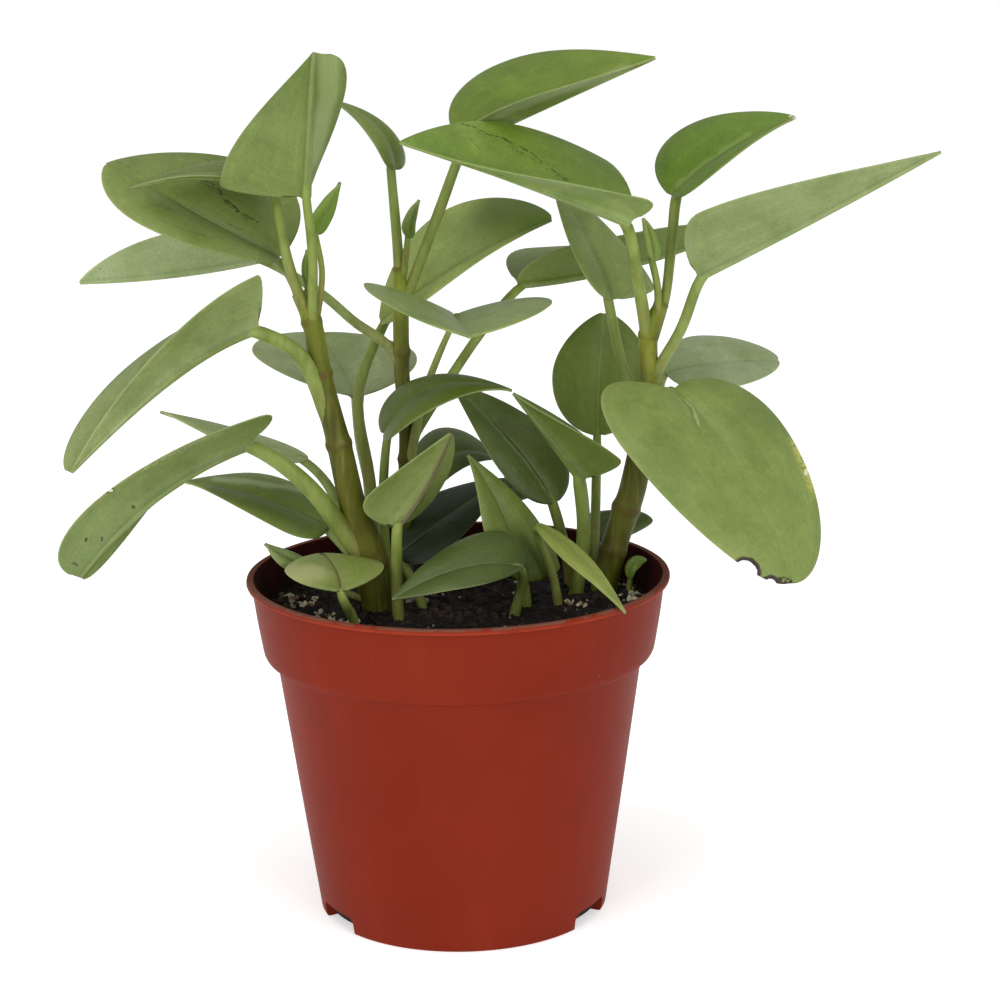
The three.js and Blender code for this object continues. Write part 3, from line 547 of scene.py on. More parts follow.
def waxy_blade(name, marks=(), through=True):
    """The finish of a blade. A mark has its line, as places so many mm along the midrib and so many
    across, its half width, how sharp its edge is, its colour and strength, and how broken it is.
    Marks that don't go through are on the upper face only."""
    waxy = Finish(name, Specular_IOR_Level=0.4)
    where = waxy.place()
    rib = waxy.along("rib")
    margin = waxy.along("edge")
    face = waxy.along("face")
    mottle = waxy.clouds(where, 45.0, 4.0)
    fine = waxy.clouds(where, 330.0, 3.0)
    middling = waxy.clouds(where, 120.0, 3.0)
    grain_way = waxy.scaled(waxy.node("ShaderNodeUVMap", {"uv_map": "UVMap"}), 2.2, 46, 1)
    streaks = waxy.clouds(grain_way, 1.0, 3.0)
    tone = waxy.blend(face, waxy.along("upper", "Color"), waxy.along("under", "Color"))
    tone = waxy.blend(mottle.rise(0.6, 0.35) * 0.7, tone, rgb(214, 224, 196), "MULTIPLY")
    tone = waxy.blend(middling.rise(0.55, 0.3) * 0.5, tone, rgb(224, 230, 208), "MULTIPLY")
    tone = waxy.blend(streaks.rise(0.46, 0.7) * 0.14, tone, rgb(255, 255, 244), "SOFT_LIGHT")
    tone = waxy.blend(fine.rise(0.5, 0.72) * 0.35, tone, rgb(216, 220, 190), "SOFT_LIGHT")
    grain = waxy.clouds(where, 1300.0, 2.0)
    tone = waxy.blend(grain.rise(0.55, 0.35) * 0.35, tone, rgb(214, 220, 196), "MULTIPLY")
    vein = waxy.along("vein", "Color")
    tone = waxy.blend(rib.rise(0.6, 0.2) * waxy.along("vein", "Alpha"), tone, vein)
    # Painted shade: the lower face is darker in the crease on each side of the keel.
    crease_shade = rib.rise(0.35, 0.6) * rib.rise(1.3, 0.8) * face
    tone = waxy.blend(crease_shade * 0.22, tone, rgb(150, 160, 120), "MULTIPLY")
    tone = waxy.blend(margin.rise(0.35, 0.1) * 0.25, tone, rgb(170, 178, 122))
    tone = waxy.blend(margin.rise(1.4, 0.3) * mottle.rise(0.5, 0.62) * 0.14, tone, rgb(150, 142, 80))
    pits = waxy.cells(where, 330.0).rise(0.085, 0.04) * waxy.clouds(where, 70.0, 1.0).rise(0.56, 0.66)
    tone = waxy.blend(pits * 0.6, tone, rgb(60, 60, 30))
    dots = waxy.cells(where, 240.0).rise(0.085, 0.05) * mottle.rise(0.42, 0.5)
    tone = waxy.blend(dots * 0.6, tone, rgb(74, 82, 36))
    broken = waxy.clouds(where, 900.0, 2.0)
    sway = waxy.node("ShaderNodeTexNoise", None, {"Vector": where, "Scale": 300.0}, 1)
    sway = waxy.node("ShaderNodeVectorMath", {"operation": "SUBTRACT"}, (sway, (0.5, 0.5, 0.5)))
    spot = waxy.along("spot", "Vector")
    bent = waxy.node("ShaderNodeVectorMath", {"operation": "MULTIPLY_ADD"}, (sway, (2, 2, 0), spot))
    bent = waxy.scaled(bent, 1, 1, 0)
    for line, width, sharp, shade, strength, gaps in marks:
        near = [beside(waxy, bent, a, b) for a, b in zip(line, line[1:])]
        nearest = near[0]
        for other in near[1:]:
            nearest = waxy.node("ShaderNodeMath", {"operation": "MINIMUM"}, (nearest, other))
        mask = nearest.rise(width, width * sharp)
        mask = mask if through else mask * (1 - face)
        if gaps:
            mask = mask * broken.rise(0.36 + 0.2 * gaps, 0.44 + 0.2 * gaps)
        tone = waxy.blend(mask * strength, tone, shade)
    tone = waxy.blend(waxy.along("torn").rise(0.5, 0.75), tone, rgb(46, 32, 20))
    waxy.color(tone)
    waxy.rough(0.34 + 0.2 * mottle + 0.08 * face)
    waxy.relief(fine + 2.4 * waxy.clouds(where, 110.0, 2.0) + 0.8 * streaks, 0.0003, 0.6)
    return waxy


waxy = waxy_blade("leaf_blade")

fleshy = Finish("leaf_stalk", Specular_IOR_Level=0.3)
where = fleshy.place()
length = fleshy.along("length")
tone = fleshy.along("under", "Color")
mottle = fleshy.clouds(fleshy.scaled(where, 1, 1, 0.3), 240.0, 3.0)
green = fleshy.blend(0.75, tone, rgb(130, 146, 66))
green = fleshy.blend(mottle.rise(0.4, 0.65) * 0.7, green, rgb(98, 112, 40))
blush = length.rise(0.5, 0.0) * fleshy.clouds(where, 420.0, 3.0).rise(0.35, 0.65)
green = fleshy.blend(blush * 0.6, green, rgb(120, 84, 44))
long_streaks = fleshy.clouds(fleshy.scaled(where, 1, 1, 0.1), 520.0, 2.0)
brown_streaks = long_streaks.rise(0.5, 0.7) * length.rise(0.9, 0.1)
green = fleshy.blend(brown_streaks * 0.38, green, rgb(146, 112, 72))
fleshy.color(green)
fleshy.rough(0.4 + 0.15 * mottle)
fleshy.relief(mottle + 0.5 * long_streaks, 0.0003, 0.6)

ROWS = 40
ACROSS = (0, 0.025, 0.06, 0.11, 0.18, 0.27, 0.38, 0.5, 0.62, 0.74, 0.84, 0.92, 0.97, 1)
HALF = len(ACROSS) - 1
AROUND = 4 * HALF + 2  # over the upper face from margin to margin, and back along the lower one
MARGIN = 0.1  # half the blade's thickness at its margin, in mm
PLUMP = 0.3  # what the flesh within adds to that
SWELL = 1.1  # how high the blade puffs up between midrib and margin, in mm
WAVE = 0.5  # how high it ripples
STALK_ROWS = 22
STALK_SIDES = 14


def breadth(s, widest, taper):
    """How wide a side is at a share of the way from base to tip, as a share of its reach."""
    if s < widest:
        return math.sqrt(1 - (1 - s / widest) ** 2)
    return max(0.0, math.cos(math.pi / 2 * (s - widest) / (1 - widest))) ** taper


class Sheet:
    """A blade without its thickness. Its midrib runs through three places, and s goes along it from
    0 to 1. From the midrib, t goes across to -1 at the left margin and to 1 at the right one."""

    def __init__(self, base, middle, tip, left, right):
        self.base, self.middle, self.tip = Vector(base), Vector(middle), Vector(tip)
        self.left, self.right = left, right
        self.seed = Vector((self.base.x * 0.37, self.base.y * 0.61, self.base.z * 0.23))
        self.back = (self.middle - self.base).normalized()
        self.length = (self.middle - self.base).length + (self.tip - self.middle).length

    def midrib(self, s):
        return (self.base * ((1 - s) * (1 - 2 * s)) + self.middle * (4 * s * (1 - s))
                + self.tip * (s * (2 * s - 1)))

    def upward(self, s):
        """The way that the upper face looks, at the midrib."""
        ahead = self.midrib(s + 0.01) - self.midrib(s - 0.01)
        to_left = Vector(self.left[0]).lerp(Vector(self.left[1]), s)
        to_right = Vector(self.right[0]).lerp(Vector(self.right[1]), s)
        return (to_right.cross(ahead) + ahead.cross(to_left)).normalized()

    def point(self, s, t):
        """A place on the sheet, and how far the margin is from the midrib there."""
        side = self.left if t < 0 else self.right
        across = abs(t)
        width = breadth(min(max(s, 0), 1), side[2], side[3])
        lobe = side[4] if len(side) > 4 else 0
        reach = Vector(side[0]).lerp(Vector(side[1]), s) * width
        ripple = noise.noise(Vector((s * 2.6, t * 1.4, 0)) + self.seed)
        rise = SWELL * width * 4 * across * (1 - across) + WAVE * ripple * width * across
        hang = self.back * (lobe * width * across**2 * (1 - s) ** 3)
        return self.midrib(s) + reach * across - hang + self.upward(s) * rise, reach.length

    def row(self, index, stalk_radius):
        """One row over the blade: upper and lower point, mm from rib and margin, place of marks."""
        s = 0.004 + 0.99 * (0.5 - 0.5 * math.cos(math.pi * index / ROWS))
        spots = []
        for k in range(-HALF, HALF + 1):
            t = math.copysign(ACROSS[abs(k)], k)
            inside = min(max(t, -0.985), 0.985)
            over = self.point(s, inside + 0.01)[0] - self.point(s, inside - 0.01)[0]
            ahead = self.point(s + 0.003, t)[0] - self.point(s - 0.003, t)[0]
            normal = over.cross(ahead).normalized()
            if normal.dot(self.upward(s)) < 0:
                normal = -normal
            spot, reach = self.point(s, t)
            far = abs(t) * reach
            half = MARGIN + PLUMP * math.sqrt(1 - abs(t) ** 10)
            ridge = stalk_radius * (1 - s) ** 0.8
            keel = 0.95 * ridge * math.exp(-((far / (0.6 * ridge + 0.25)) ** 2))
            groove = 0.3 * (1 - s) * math.exp(-((far / 0.9) ** 2))
            spots.append((spot + normal * (half - groove), spot - normal * (half + keel), far,
                          (1 - abs(t)) * reach, (s * self.length, math.copysign(far, t), 0)))
        return spots


def nibble(blade, bite):
    """Takes a ragged bite, given by its middle and its radius, out of a blade."""
    *middle, radius = bite
    bpy.ops.mesh.primitive_ico_sphere_add(
        subdivisions=3, radius=radius * MM, location=Vector(middle) * MM
    )
    jaw = bpy.context.object
    for vertex in jaw.data.vertices:
        vertex.co *= 1 + 0.16 * noise.noise(vertex.co * 900)
    carve(blade, jaw, "DIFFERENCE")


def thick_blade(name, sheet, stalk_radius, bites):
    """The closed blade with its bites, and what its finish reads at each corner."""
    rows = [sheet.row(index, stalk_radius) for index in range(ROWS + 1)]

    def spot_at(row, column):
        column %= AROUND
        lower = column > 2 * HALF
        return rows[row][AROUND - 1 - column if lower else column], lower

    def corner(row, column):
        spot, lower = spot_at(row, column)
        return spot[1 if lower else 0] * MM

    blade = rolled(name, ROWS, AROUND, corner)
    grown = kdtree.KDTree(len(blade.data.vertices))
    for index, vertex in enumerate(blade.data.vertices):
        grown.insert(vertex.co, index)
    grown.balance()
    close_up(blade)
    for bite in bites:
        nibble(blade, bite)
    # A bite leaves corners that the grid didn't have, so each takes after the nearest one that it had.
    rib, edge, face, places, torn = [], [], [], [], []
    for vertex in blade.data.vertices:
        column, row = divmod(grown.find(vertex.co)[1], ROWS + 1)
        spot, lower = spot_at(row, column)
        rib.append(spot[2])
        edge.append(spot[3])
        face.append(float(lower))
        places += spot[4]
        gaps = [abs((vertex.co / MM - Vector(bite[:3])).length - bite[3]) for bite in bites]
        torn.append(max(0, 1 - min(gaps, default=9) / 2.5))
    note(blade, "rib", rib)
    note(blade, "edge", edge)
    note(blade, "face", face)
    note(blade, "torn", torn)
    note(blade, "spot", places, "FLOAT_VECTOR")
    return blade


def leaf(name, base, middle, tip, left, right, stalk, thick, upper, under,
         vein=(0.42, 0.47, 0.2, 0.12), finish=waxy, bites=()):
    """One leaf with its stalk, in mm. Each side has its reach from midrib to margin at the base
    and at the tip, the place of its widest point, how it tapers, and how far its lobe hangs back.
    The stalk's thickness is its radius at both ends, and vein ends with how much the rib shows."""
    sheet = Sheet(base, middle, tip, left, right)
    blade = thick_blade(name, sheet, thick[1], bites)
    for layer, color in (("upper", upper), ("under", under), ("vein", vein)):
        note(blade, layer, color * len(blade.data.vertices), "FLOAT_COLOR")
    blade.data.materials.append(finish.material)

    path = [Vector(p) for p in stalk]
    path.append(sheet.midrib(0.01) - sheet.upward(0.01) * 0.75 * thick[1])
    path.append(sheet.midrib(0.13) - sheet.upward(0.13) * 0.5)
    steps = len(path) - 2
    radii = [thick[0] + (thick[1] - thick[0]) * k / steps for k in range(len(path))]
    radii[-1] = 0.6
    stem = tube(name + "_stalk", path, radii, STALK_ROWS, STALK_SIDES)
    note(stem, "under", under * len(stem.data.vertices), "FLOAT_COLOR")
    stem.data.materials.append(fleshy.material)
    fuse(blade, stem)
    return blade


def grow(node, *shape, **look):
    """One leaf of its own, which stands for the CAD node of that name."""
    own(leaf(node + "_blade", *shape, **look), "leaf", node)


# ---------------------------------------------------------------------------------------------
# Left stem: the thickest shoot, with a stout foot. Eight leaves grow from it, two of them on stout
# stalks, and a pale one of the centre stem reaches in among them. Two small unopened leaves stand
# on its tip.
# ---------------------------------------------------------------------------------------------

STEM_ROWS = 130
STEM_SIDES = 26


def finish_stem(stem, node, *buds):
    """Gives a stem its skin and the unopened leaves on its tip, and has it stand for its node."""
    stem.data.materials.append(skin.material)
    fuse(stem, *buds)
    own(stem, "stem", node)


stem_left = tube(
    "stem_left_shoot",
    [(-19, -4, 64), (-22.4, -4, 88), (-25, -4, 103), (-29, -5, 119), (-33, -6, 139), (-37, -6, 157),
     (-39, -5, 171), (-43, -4, 180)],
    [4.6, 4.9, 5.2, 3.8, 3.3, 3, 2.7, 1.9],
    STEM_ROWS, STEM_SIDES, joints=(102, 137.2, 157, 171.6),
)
finish_stem(
    stem_left, "stem_left",
    leaf("bud_left_pair", (-37, -6, 196), (-34, -7, 203), (-30, -8, 210),
         left=((-3, -5, 2), (-1, -2, 1), 0.4, 1),
         right=((2, 5, -2), (1, 2, -1), 0.4, 1),
         stalk=[(-38, -4, 170), (-36, -2, 184)], thick=(0.9, 0.8),
         upper=rgb(108, 134, 44), under=rgb(100, 122, 44)),
    leaf("bud_left_tip", (-40, -2, 182), (-40, -2, 187), (-40, -3, 191),
         left=((-2, -1, 0), (-1, 0, 0), 0.4, 1),
         right=((2, 1, 0), (1, 0, 0), 0.4, 1),
         stalk=[(-40, -4, 174)], thick=(0.9, 0.8),
         upper=rgb(104, 128, 40), under=rgb(100, 122, 44)),
)

two_toned_blade = waxy_blade("two_toned_blade", [
    ([(40, -5), (29, -7), (12, -6)], 6.5, 0.3, rgb(150, 166, 108), 0.55, 0),
])
grow("leaf_left_top", (-39, -17, 207), (-37, -23, 228), (-35.7, -17, 245.4),
     left=((1, 14, -1), (12, 12, -2), 0.5, 0.25),
     right=((-24, 8, -0.5), (-22, 13, -6), 0.1, 1),
     stalk=[(-37.4, -6, 160), (-38.7, -6.3, 171), (-38, -11, 190)], thick=(1.5, 1.2),
     upper=rgb(106, 124, 52), under=rgb(106, 122, 56), finish=two_toned_blade)
scratched_blade = waxy_blade("scratched_blade", [
    ([(32, 9.5), (28.5, 10), (24.5, 11), (20, 8), (14.5, 6.5), (10, 6.5)], 0.34, 0.4,
     rgb(44, 50, 22), 0.9, 0.3),
    ([(31, 9), (24, 9.5), (19, 7), (12, 5.5)], 0.28, 0.4, rgb(50, 56, 24), 0.8, 0.55),
    ([(29, 18), (26.5, 17)], 0.25, 0.3, rgb(56, 60, 30), 0.8, 0),
    ([(22, 15), (19.5, 14)], 0.25, 0.3, rgb(56, 60, 30), 0.8, 0.2),
    ([(52.5, 2.5), (43, 3)], 0.25, 0.3, rgb(66, 72, 38), 0.7, 0.4),
    ([(34.5, -7.5), (29, -5.5)], 0.25, 0.3, rgb(66, 72, 38), 0.7, 0.3),
    ([(21.5, -12), (15, -11)], 0.3, 0.3, rgb(56, 60, 30), 0.7, 0.3),
    ([(16, 1.5), (8, 3)], 0.25, 0.3, rgb(66, 72, 38), 0.6, 0.3),
], through=False)
grow("leaf_left_broad", (-48, 2, 188), (-73, -2, 203), (-93, -10, 216),
     left=((1, -18, -2), (-14, -14, -8), 0.34, 0.75),
     right=((17, 16, 15), (0, 18, 12), 0.34, 0.9),
     stalk=[(-40, -4.8, 173), (-43.4, -3, 181), (-46, 1, 185)], thick=(1.6, 1.3),
     upper=rgb(114, 130, 66), under=rgb(118, 134, 70), finish=scratched_blade,
     vein=(0.1, 0.12, 0.05, 0.25))
grow("leaf_left_slim", (-47.6, -1, 206.8), (-66, -5, 211.8), (-86, -18, 210),
     left=((2, -7, 0), (0, -5, 1), 0.28, 1.2),
     right=((1, 12, 4), (-1, 8, 2), 0.3, 1.2),
     stalk=[(-40, -5, 173), (-43, -6.2, 181), (-46, -7, 193)], thick=(1.6, 1.4),
     upper=rgb(102, 116, 54), under=rgb(118, 134, 70))
grow("leaf_left_pale", (-53, 14, 187), (-77, 11, 183), (-103.5, 2, 182),
     left=((4, -6, 10), (-3, -4, 16), 0.34, 0.8),
     right=((-1, 18, 8), (-3, 14, 6), 0.34, 1.1),
     stalk=[(-15, 15, 151), (-18, 15.5, 160), (-28, 14, 168), (-38, 13, 177)], thick=(1.6, 1.3),
     upper=rgb(166, 180, 132), under=rgb(166, 180, 132))
# A painted highlight: a soft pale streak along the middle of the blade.
highlight_streak_blade = waxy_blade("highlight_streak_blade", [
    ([(52, 0), (38, 0.5), (15, 6)], 1.6, 0.1, rgb(166, 178, 126), 0.35, 0),
])
grow("leaf_left_arching", (-53, -16, 172), (-75, -24, 160.8), (-103, -34, 136),
     left=((4, -10, 17), (-8, -6, 8), 0.06, 0.8),
     right=((-7, 18, 2.5), (-18, 16, 3), 0.2, 0.5),
     stalk=[(-33, -6, 137), (-35.6, -6.6, 146), (-42, -10, 162.5)], thick=(2.6, 1.9),
     upper=rgb(128, 141, 86), under=rgb(128, 141, 86), finish=highlight_streak_blade)
# Pits and spots, and one painted highlight: the last mark, a soft broken pale streak on the left half.
pitted_highlight_blade = waxy_blade("pitted_highlight_blade", [
    ([(38, -2.5), (38.5, -2)], 0.4, 0.3, rgb(46, 44, 24), 0.9, 0),
    ([(50.5, -6), (51.5, -5.5)], 0.45, 0.4, rgb(46, 44, 24), 0.9, 0),
    ([(49, -2.5), (50, -2)], 0.4, 0.4, rgb(46, 44, 24), 0.9, 0),
    ([(38, -12), (38, -11.5)], 0.85, 0.6, rgb(70, 74, 40), 0.9, 0),
    ([(38, -12), (38, -11.5)], 0.45, 0.4, rgb(214, 218, 190), 0.9, 0),
    ([(58, -4.5), (58, -3)], 0.6, 0.4, rgb(66, 60, 30), 0.8, 0.2),
    ([(30, -11), (14, -12)], 1.5, 0.1, rgb(164, 178, 126), 0.4, 0.3),
])
grow("leaf_left_drooping", (-56, -14, 140), (-80, -26, 128.6), (-101, -40, 109),
     left=((12, -10, 11.5), (-21.5, -6, 7.5), 0.1, 0.4),
     right=((-4, 20, 3), (4.5, 2.5, -5), 0.2, 0.4),
     stalk=[(-25, -5, 98), (-28.5, -6, 107), (-42, -10, 127)], thick=(3.4, 2),
     upper=rgb(111, 128, 70), under=rgb(111, 128, 70), finish=pitted_highlight_blade)
grow("leaf_left_hidden", (-42.5, 12, 129), (-64, 16, 135.5), (-85, 20, 142),
     left=((-2, -6, -2), (-4, -5, 0), 0.3, 1.3),
     right=((1, 8, -0.5), (-1, 8, 1), 0.3, 1.2),
     stalk=[(-28, -3, 106), (-31, 0, 113), (-37, 7, 123)], thick=(1.6, 1.3),
     upper=rgb(170, 182, 134), under=rgb(128, 140, 100))
# A painted highlight along the right side of the midrib, and a darker green band along its left side.
painted_sheen_blade = waxy_blade("painted_sheen_blade", [
    ([(36.5, 3), (20, 6), (6.5, 10.5)], 2.4, 0.1, rgb(170, 184, 140), 0.6, 0),
    ([(34, -4), (8, -6)], 5, 0.3, rgb(76, 94, 34), 0.6, 0),
])
grow("leaf_left_low", (-37, 9, 110), (-57, 17, 117), (-79, 24, 120),
     left=((-1, -12, -5.5), (-5, -8, 0), 0.3, 1),
     right=((0, 14, 6), (-1, 12, 2), 0.4, 0.8),
     stalk=[(-26, -3, 96), (-29, 0, 102)], thick=(1.8, 1.4),
     upper=rgb(116, 132, 60), under=rgb(128, 140, 100), finish=painted_sheen_blade)
grow("leaf_left_sprout", (-43, -6, 101.5), (-49, -7, 105), (-54, -8, 109.4),
     left=((-3, -4, -1), (-1, -2, 0), 0.4, 1),
     right=((3, 3, 1), (1, 2, 1), 0.4, 1),
     stalk=[(-24, -5, 91), (-34, -5, 95)], thick=(1.1, 0.9),
     upper=rgb(112, 128, 70), under=rgb(116, 132, 78))

# ---------------------------------------------------------------------------------------------
# Centre stem: a thin shoot at the back. Five leaves grow from it, the pale one among the left stem's
# and four here, and two tall ones beside it rise from the soil. One unopened leaf stands on its tip.
# ---------------------------------------------------------------------------------------------

stem_center = tube(
    "stem_center_shoot",
    [(-17, 19, 64), (-17, 19, 90), (-16, 18, 103), (-14, 16, 133), (-15, 15, 152), (-15, 15, 160),
     (-15, 14, 174), (-15, 14, 184)],
    [2.6, 2.6, 2.4, 2.3, 2.2, 2.3, 2.2, 1.7],
    STEM_ROWS, STEM_SIDES, joints=(127.6, 159, 183.3),
)
finish_stem(
    stem_center, "stem_center",
    leaf("bud_center", (-12, 10, 192), (-12, 9, 197), (-9, 8, 203),
         left=((-2, -3, 1), (-1, -1, 1), 0.45, 0.8),
         right=((2, 3, 0), (1, 1, 0), 0.45, 0.8),
         stalk=[(-14, 13, 180)], thick=(1, 0.8),
         upper=rgb(102, 122, 48), under=rgb(96, 116, 46)),
)

grow("leaf_center_curled", (-16, 16, 211), (-20, 14, 222), (-32, 12, 230),
     left=((-3, -8, -1), (-2, -6, -2), 0.35, 0.9),
     right=((4.6, 8, -3), (2, 6, 1), 0.35, 0.9),
     stalk=[(-15, 14, 176), (-15.2, 14, 184), (-16, 15, 198)], thick=(1.6, 1.3),
     upper=rgb(106, 121, 56), under=rgb(112, 128, 64))
half_lit_blade = waxy_blade("half_lit_blade", [
    ([(16, 7.5), (32.5, 6.5), (49, 1.5)], 5, 0.4, rgb(142, 158, 102), 0.6, 0),
])
grow("leaf_center_top", (3, 14, 218), (28, 10, 229), (57, 8, 241),
     left=((-12, 22, 11), (1, 22, 14), 0.36, 1),
     right=((-2, -14, 6), (0, -10, 2.5), 0.36, 1),
     stalk=[(-15, 14.5, 163), (-13.6, 14, 173), (-4, 14, 198)], thick=(1.7, 1.4),
     upper=rgb(102, 124, 34), under=rgb(106, 124, 56), finish=half_lit_blade)
shaded_blade = waxy_blade("shaded_blade", [
    ([(43, -14), (50, -8), (57, 2)], 15, 0.1, rgb(80, 104, 24), 0.85, 0),
])
grow("leaf_center_back", (-21, 22, 166), (1, 27, 181), (29, 31, 194),
     left=((-1, 16, 16), (-1, 20, 15.5), 0.4, 0.65),
     right=((3, -8, -1), (0, -8, 0), 0.35, 0.8),
     stalk=[(-26, 25, 76), (-25, 23, 115), (-28, 22, 144)], thick=(2.2, 1.4),
     upper=rgb(144, 160, 84), under=rgb(118, 134, 70), finish=shaded_blade)
grow("leaf_center_front", (0.5, 4, 171), (2, -20, 172), (4, -44, 173),
     left=((25, 0, 7), (25, 2, 5), 0.42, 0.5, 4),
     right=((-26, 0, 12), (-25, 2, 7), 0.3, 0.5, 4),
     stalk=[(-14.2, 16, 118), (-13.2, 15, 128), (-8, 9, 150)], thick=(1.7, 0.8),
     upper=rgb(119, 136, 74), under=rgb(134, 148, 92))
grow("leaf_back_long", (19, 36, 174.9), (50, 50, 177.1), (82.8, 62, 185.2),
     left=((-10, 18, 8), (2, 16, 4), 0.2, 0.8),
     right=((-2, -6, 9.5), (-1, -5, 11.5), 0.35, 0.5),
     stalk=[(-15, 17, 122), (-12.5, 18, 132), (-9.4, 20, 137.9), (6.6, 27, 160.6)], thick=(1.6, 1.3),
     upper=rgb(118, 134, 70), under=rgb(106, 124, 48))
grow("leaf_back_round", (-29, 36, 142), (-34, 56, 148), (-41, 72, 155),
     left=((-26, -2, 6), (-27, -4, 5), 0.45, 0.6),
     right=((21, -2, 5), (23, -4, 4), 0.45, 0.6),
     stalk=[(-21, 31, 76), (-25, 31, 113), (-28, 32, 130)], thick=(2, 1.5),
     upper=rgb(132, 144, 98), under=rgb(128, 140, 100))

# ---------------------------------------------------------------------------------------------
# Right stem: a stout shoot that leans right. Six leaves grow from its upper half, and a round one
# behind it rises from the soil. The big front leaf has been nibbled near its tip, and one unopened
# leaf stands on the tip of the stem.
# ---------------------------------------------------------------------------------------------

stem_right = tube(
    "stem_right_shoot",
    [(40, 12, 64), (42, 12, 88), (44, 12, 98), (48, 12, 111), (51, 12, 121), (55, 12, 145),
     (55, 12, 163), (59, 12, 173)],
    [4, 4.1, 3.9, 3.9, 3.9, 3.1, 2.7, 1.8],
    STEM_ROWS, STEM_SIDES, joints=(100.7, 112.9, 137, 163.4, 172.6),
)
finish_stem(
    stem_right, "stem_right",
    leaf("bud_right", (56.2, 9, 185), (55, 8, 191), (53, 7, 197),
         left=((-2, -2, 0), (-1.2, -1, 0), 0.45, 0.7),
         right=((2.8, 1.5, -0.5), (1.8, 1, 0), 0.45, 0.7),
         stalk=[(57.6, 11, 168), (57.4, 10, 177)], thick=(1.1, 1),
         upper=rgb(120, 140, 62), under=rgb(120, 140, 62)),
)

scarred_blade = waxy_blade("scarred_blade", [
    ([(51, 12.5), (44, 12), (36.5, 11.5), (30.5, 10), (24, 7), (20, 5.5)], 0.34, 0.4,
     rgb(44, 56, 20), 0.9, 0.3),
    ([(47, 11), (38, 10), (31, 8.5), (23, 5.5)], 0.28, 0.3, rgb(56, 66, 26), 0.8, 0.55),
    ([(48, 8), (45.5, 5.5)], 0.25, 0.3, rgb(60, 66, 30), 0.7, 0.2),
], through=False)
grow("leaf_right_big", (49, 0, 197), (17, -8, 210), (-14, -14, 221),
     left=((11, -12, 6), (-5, -10, -1), 0.1, 1.1),
     right=((5, 18, 9), (1, 20, 23), 0.16, 0.95),
     stalk=[(55, 12, 153), (54.3, 11, 164), (51, 5, 183)], thick=(1.9, 1.6),
     upper=rgb(108, 132, 46), under=rgb(138, 156, 92), finish=scarred_blade)
grow("leaf_right_long", (68, 4, 181), (100, -4, 198), (133, -10, 216),
     left=((-4, 16, 10), (-1, 10, 7), 0.14, 1),
     right=((-10, -10, 15), (-4, -4, 11), 0.14, 0.95),
     stalk=[(55, 12, 142), (57, 11, 152), (64, 7, 166)], thick=(1.8, 1.5),
     upper=rgb(118, 134, 70), under=rgb(128, 142, 90))
# A painted highlight along the midrib, and a whitish dry tip.
midrib_highlight_and_dry_tip_blade = waxy_blade("midrib_highlight_and_dry_tip_blade", [
    ([(4, -1), (21, -0.5), (29, -1)], 1.2, 0.1, rgb(148, 170, 92), 0.28, 0),
    ([(40.5, -1), (41, 0.5)], 1.3, 0.5, rgb(196, 194, 170), 0.9, 0.1),
])
grow("leaf_right_top", (62, 14, 202), (76, 12, 214), (96, 10, 224),
     left=((-10, 16, 6.5), (-1, 16, 10.5), 0.34, 0.9),
     right=((1, -14, -1), (0, -10, -1), 0.32, 1),
     stalk=[(55.8, 12, 160), (59.8, 12.5, 174), (61.5, 14, 187)], thick=(1.4, 1.5),
     upper=rgb(92, 118, 30), under=rgb(100, 118, 56), finish=midrib_highlight_and_dry_tip_blade)
grow("leaf_right_upright", (45, 22, 172), (39.5, 31, 187), (28.5, 40, 205.5),
     left=((-5, -9, 1), (-8, -8, 0), 0.3, 1),
     right=((14.5, 8, -1), (11, 8, -3), 0.12, 0.7),
     stalk=[(54.5, 13, 131), (53.5, 14, 141), (48, 20, 154)], thick=(1.6, 1.4),
     upper=rgb(124, 140, 76), under=rgb(116, 132, 78))
grow("leaf_right_back_round", (42, 38, 129), (43, 48, 145), (45, 54, 163),
     left=((-14, -2, 1), (-14, 0, 0), 0.5, 0.6),
     right=((15, 2, -1), (15, 0, 0), 0.5, 0.6),
     stalk=[(40, 22, 76), (40, 23, 96), (41, 31, 114)], thick=(1.6, 1.3),
     upper=rgb(100, 118, 42), under=rgb(90, 106, 48))
grow("leaf_right_back_pale", (61, 30, 149), (77, 44, 149), (97.6, 56.4, 147),
     left=((-1, 14, 7), (2, 14, 5), 0.4, 0.52),
     right=((5, -10, -6), (3, -10, -6), 0.4, 0.52),
     stalk=[(52, 12, 120), (53, 13, 129), (57, 20, 140)], thick=(1.6, 1.3),
     upper=rgb(142, 154, 114), under=rgb(128, 140, 100))
nibbled_blade = waxy_blade("nibbled_blade", [
    ([(64, 9), (67.5, 1)], 1.7, 0.8, rgb(46, 32, 20), 0.95, 0.1),
    ([(29, -22), (40, -20.5)], 3.6, 0.1, rgb(190, 184, 84), 0.65, 0.25),
    ([(35.5, -21), (36.5, -20)], 0.8, 0.4, rgb(216, 216, 190), 0.8, 0.3),
    ([(2, 1), (10, 2), (16.5, 4.5)], 0.45, 0.2, rgb(92, 106, 52), 0.7, 0),
    ([(2, 0), (10, 1), (16.5, 3.5)], 0.45, 0.2, rgb(170, 182, 126), 0.6, 0),
])
grow("leaf_right_front", (61, 0, 150), (78, -22, 131), (89, -40, 104),
     left=((17, 12, 6), (23, 10, -9), 0.34, 0.58, 3),
     right=((-28, -14, 0), (-19, -14, -8), 0.34, 0.65, 18),
     stalk=[(55, 12, 129), (55, 11, 138), (60, 5, 147)], thick=(2, 1.6),
     upper=rgb(117, 133, 66), under=rgb(134, 148, 92), finish=nibbled_blade, vein=(0, 0, 0, 0),
     bites=[(77, -42.3, 108, 3.2), (83.6, -41.9, 104.1, 1.8)])

# ---------------------------------------------------------------------------------------------
# Low shoots: twelve young leaves that rise from the soil on thin fleshy stalks of their own, most of
# them under the taller ones, and one seedling by the pot's wall.
# ---------------------------------------------------------------------------------------------

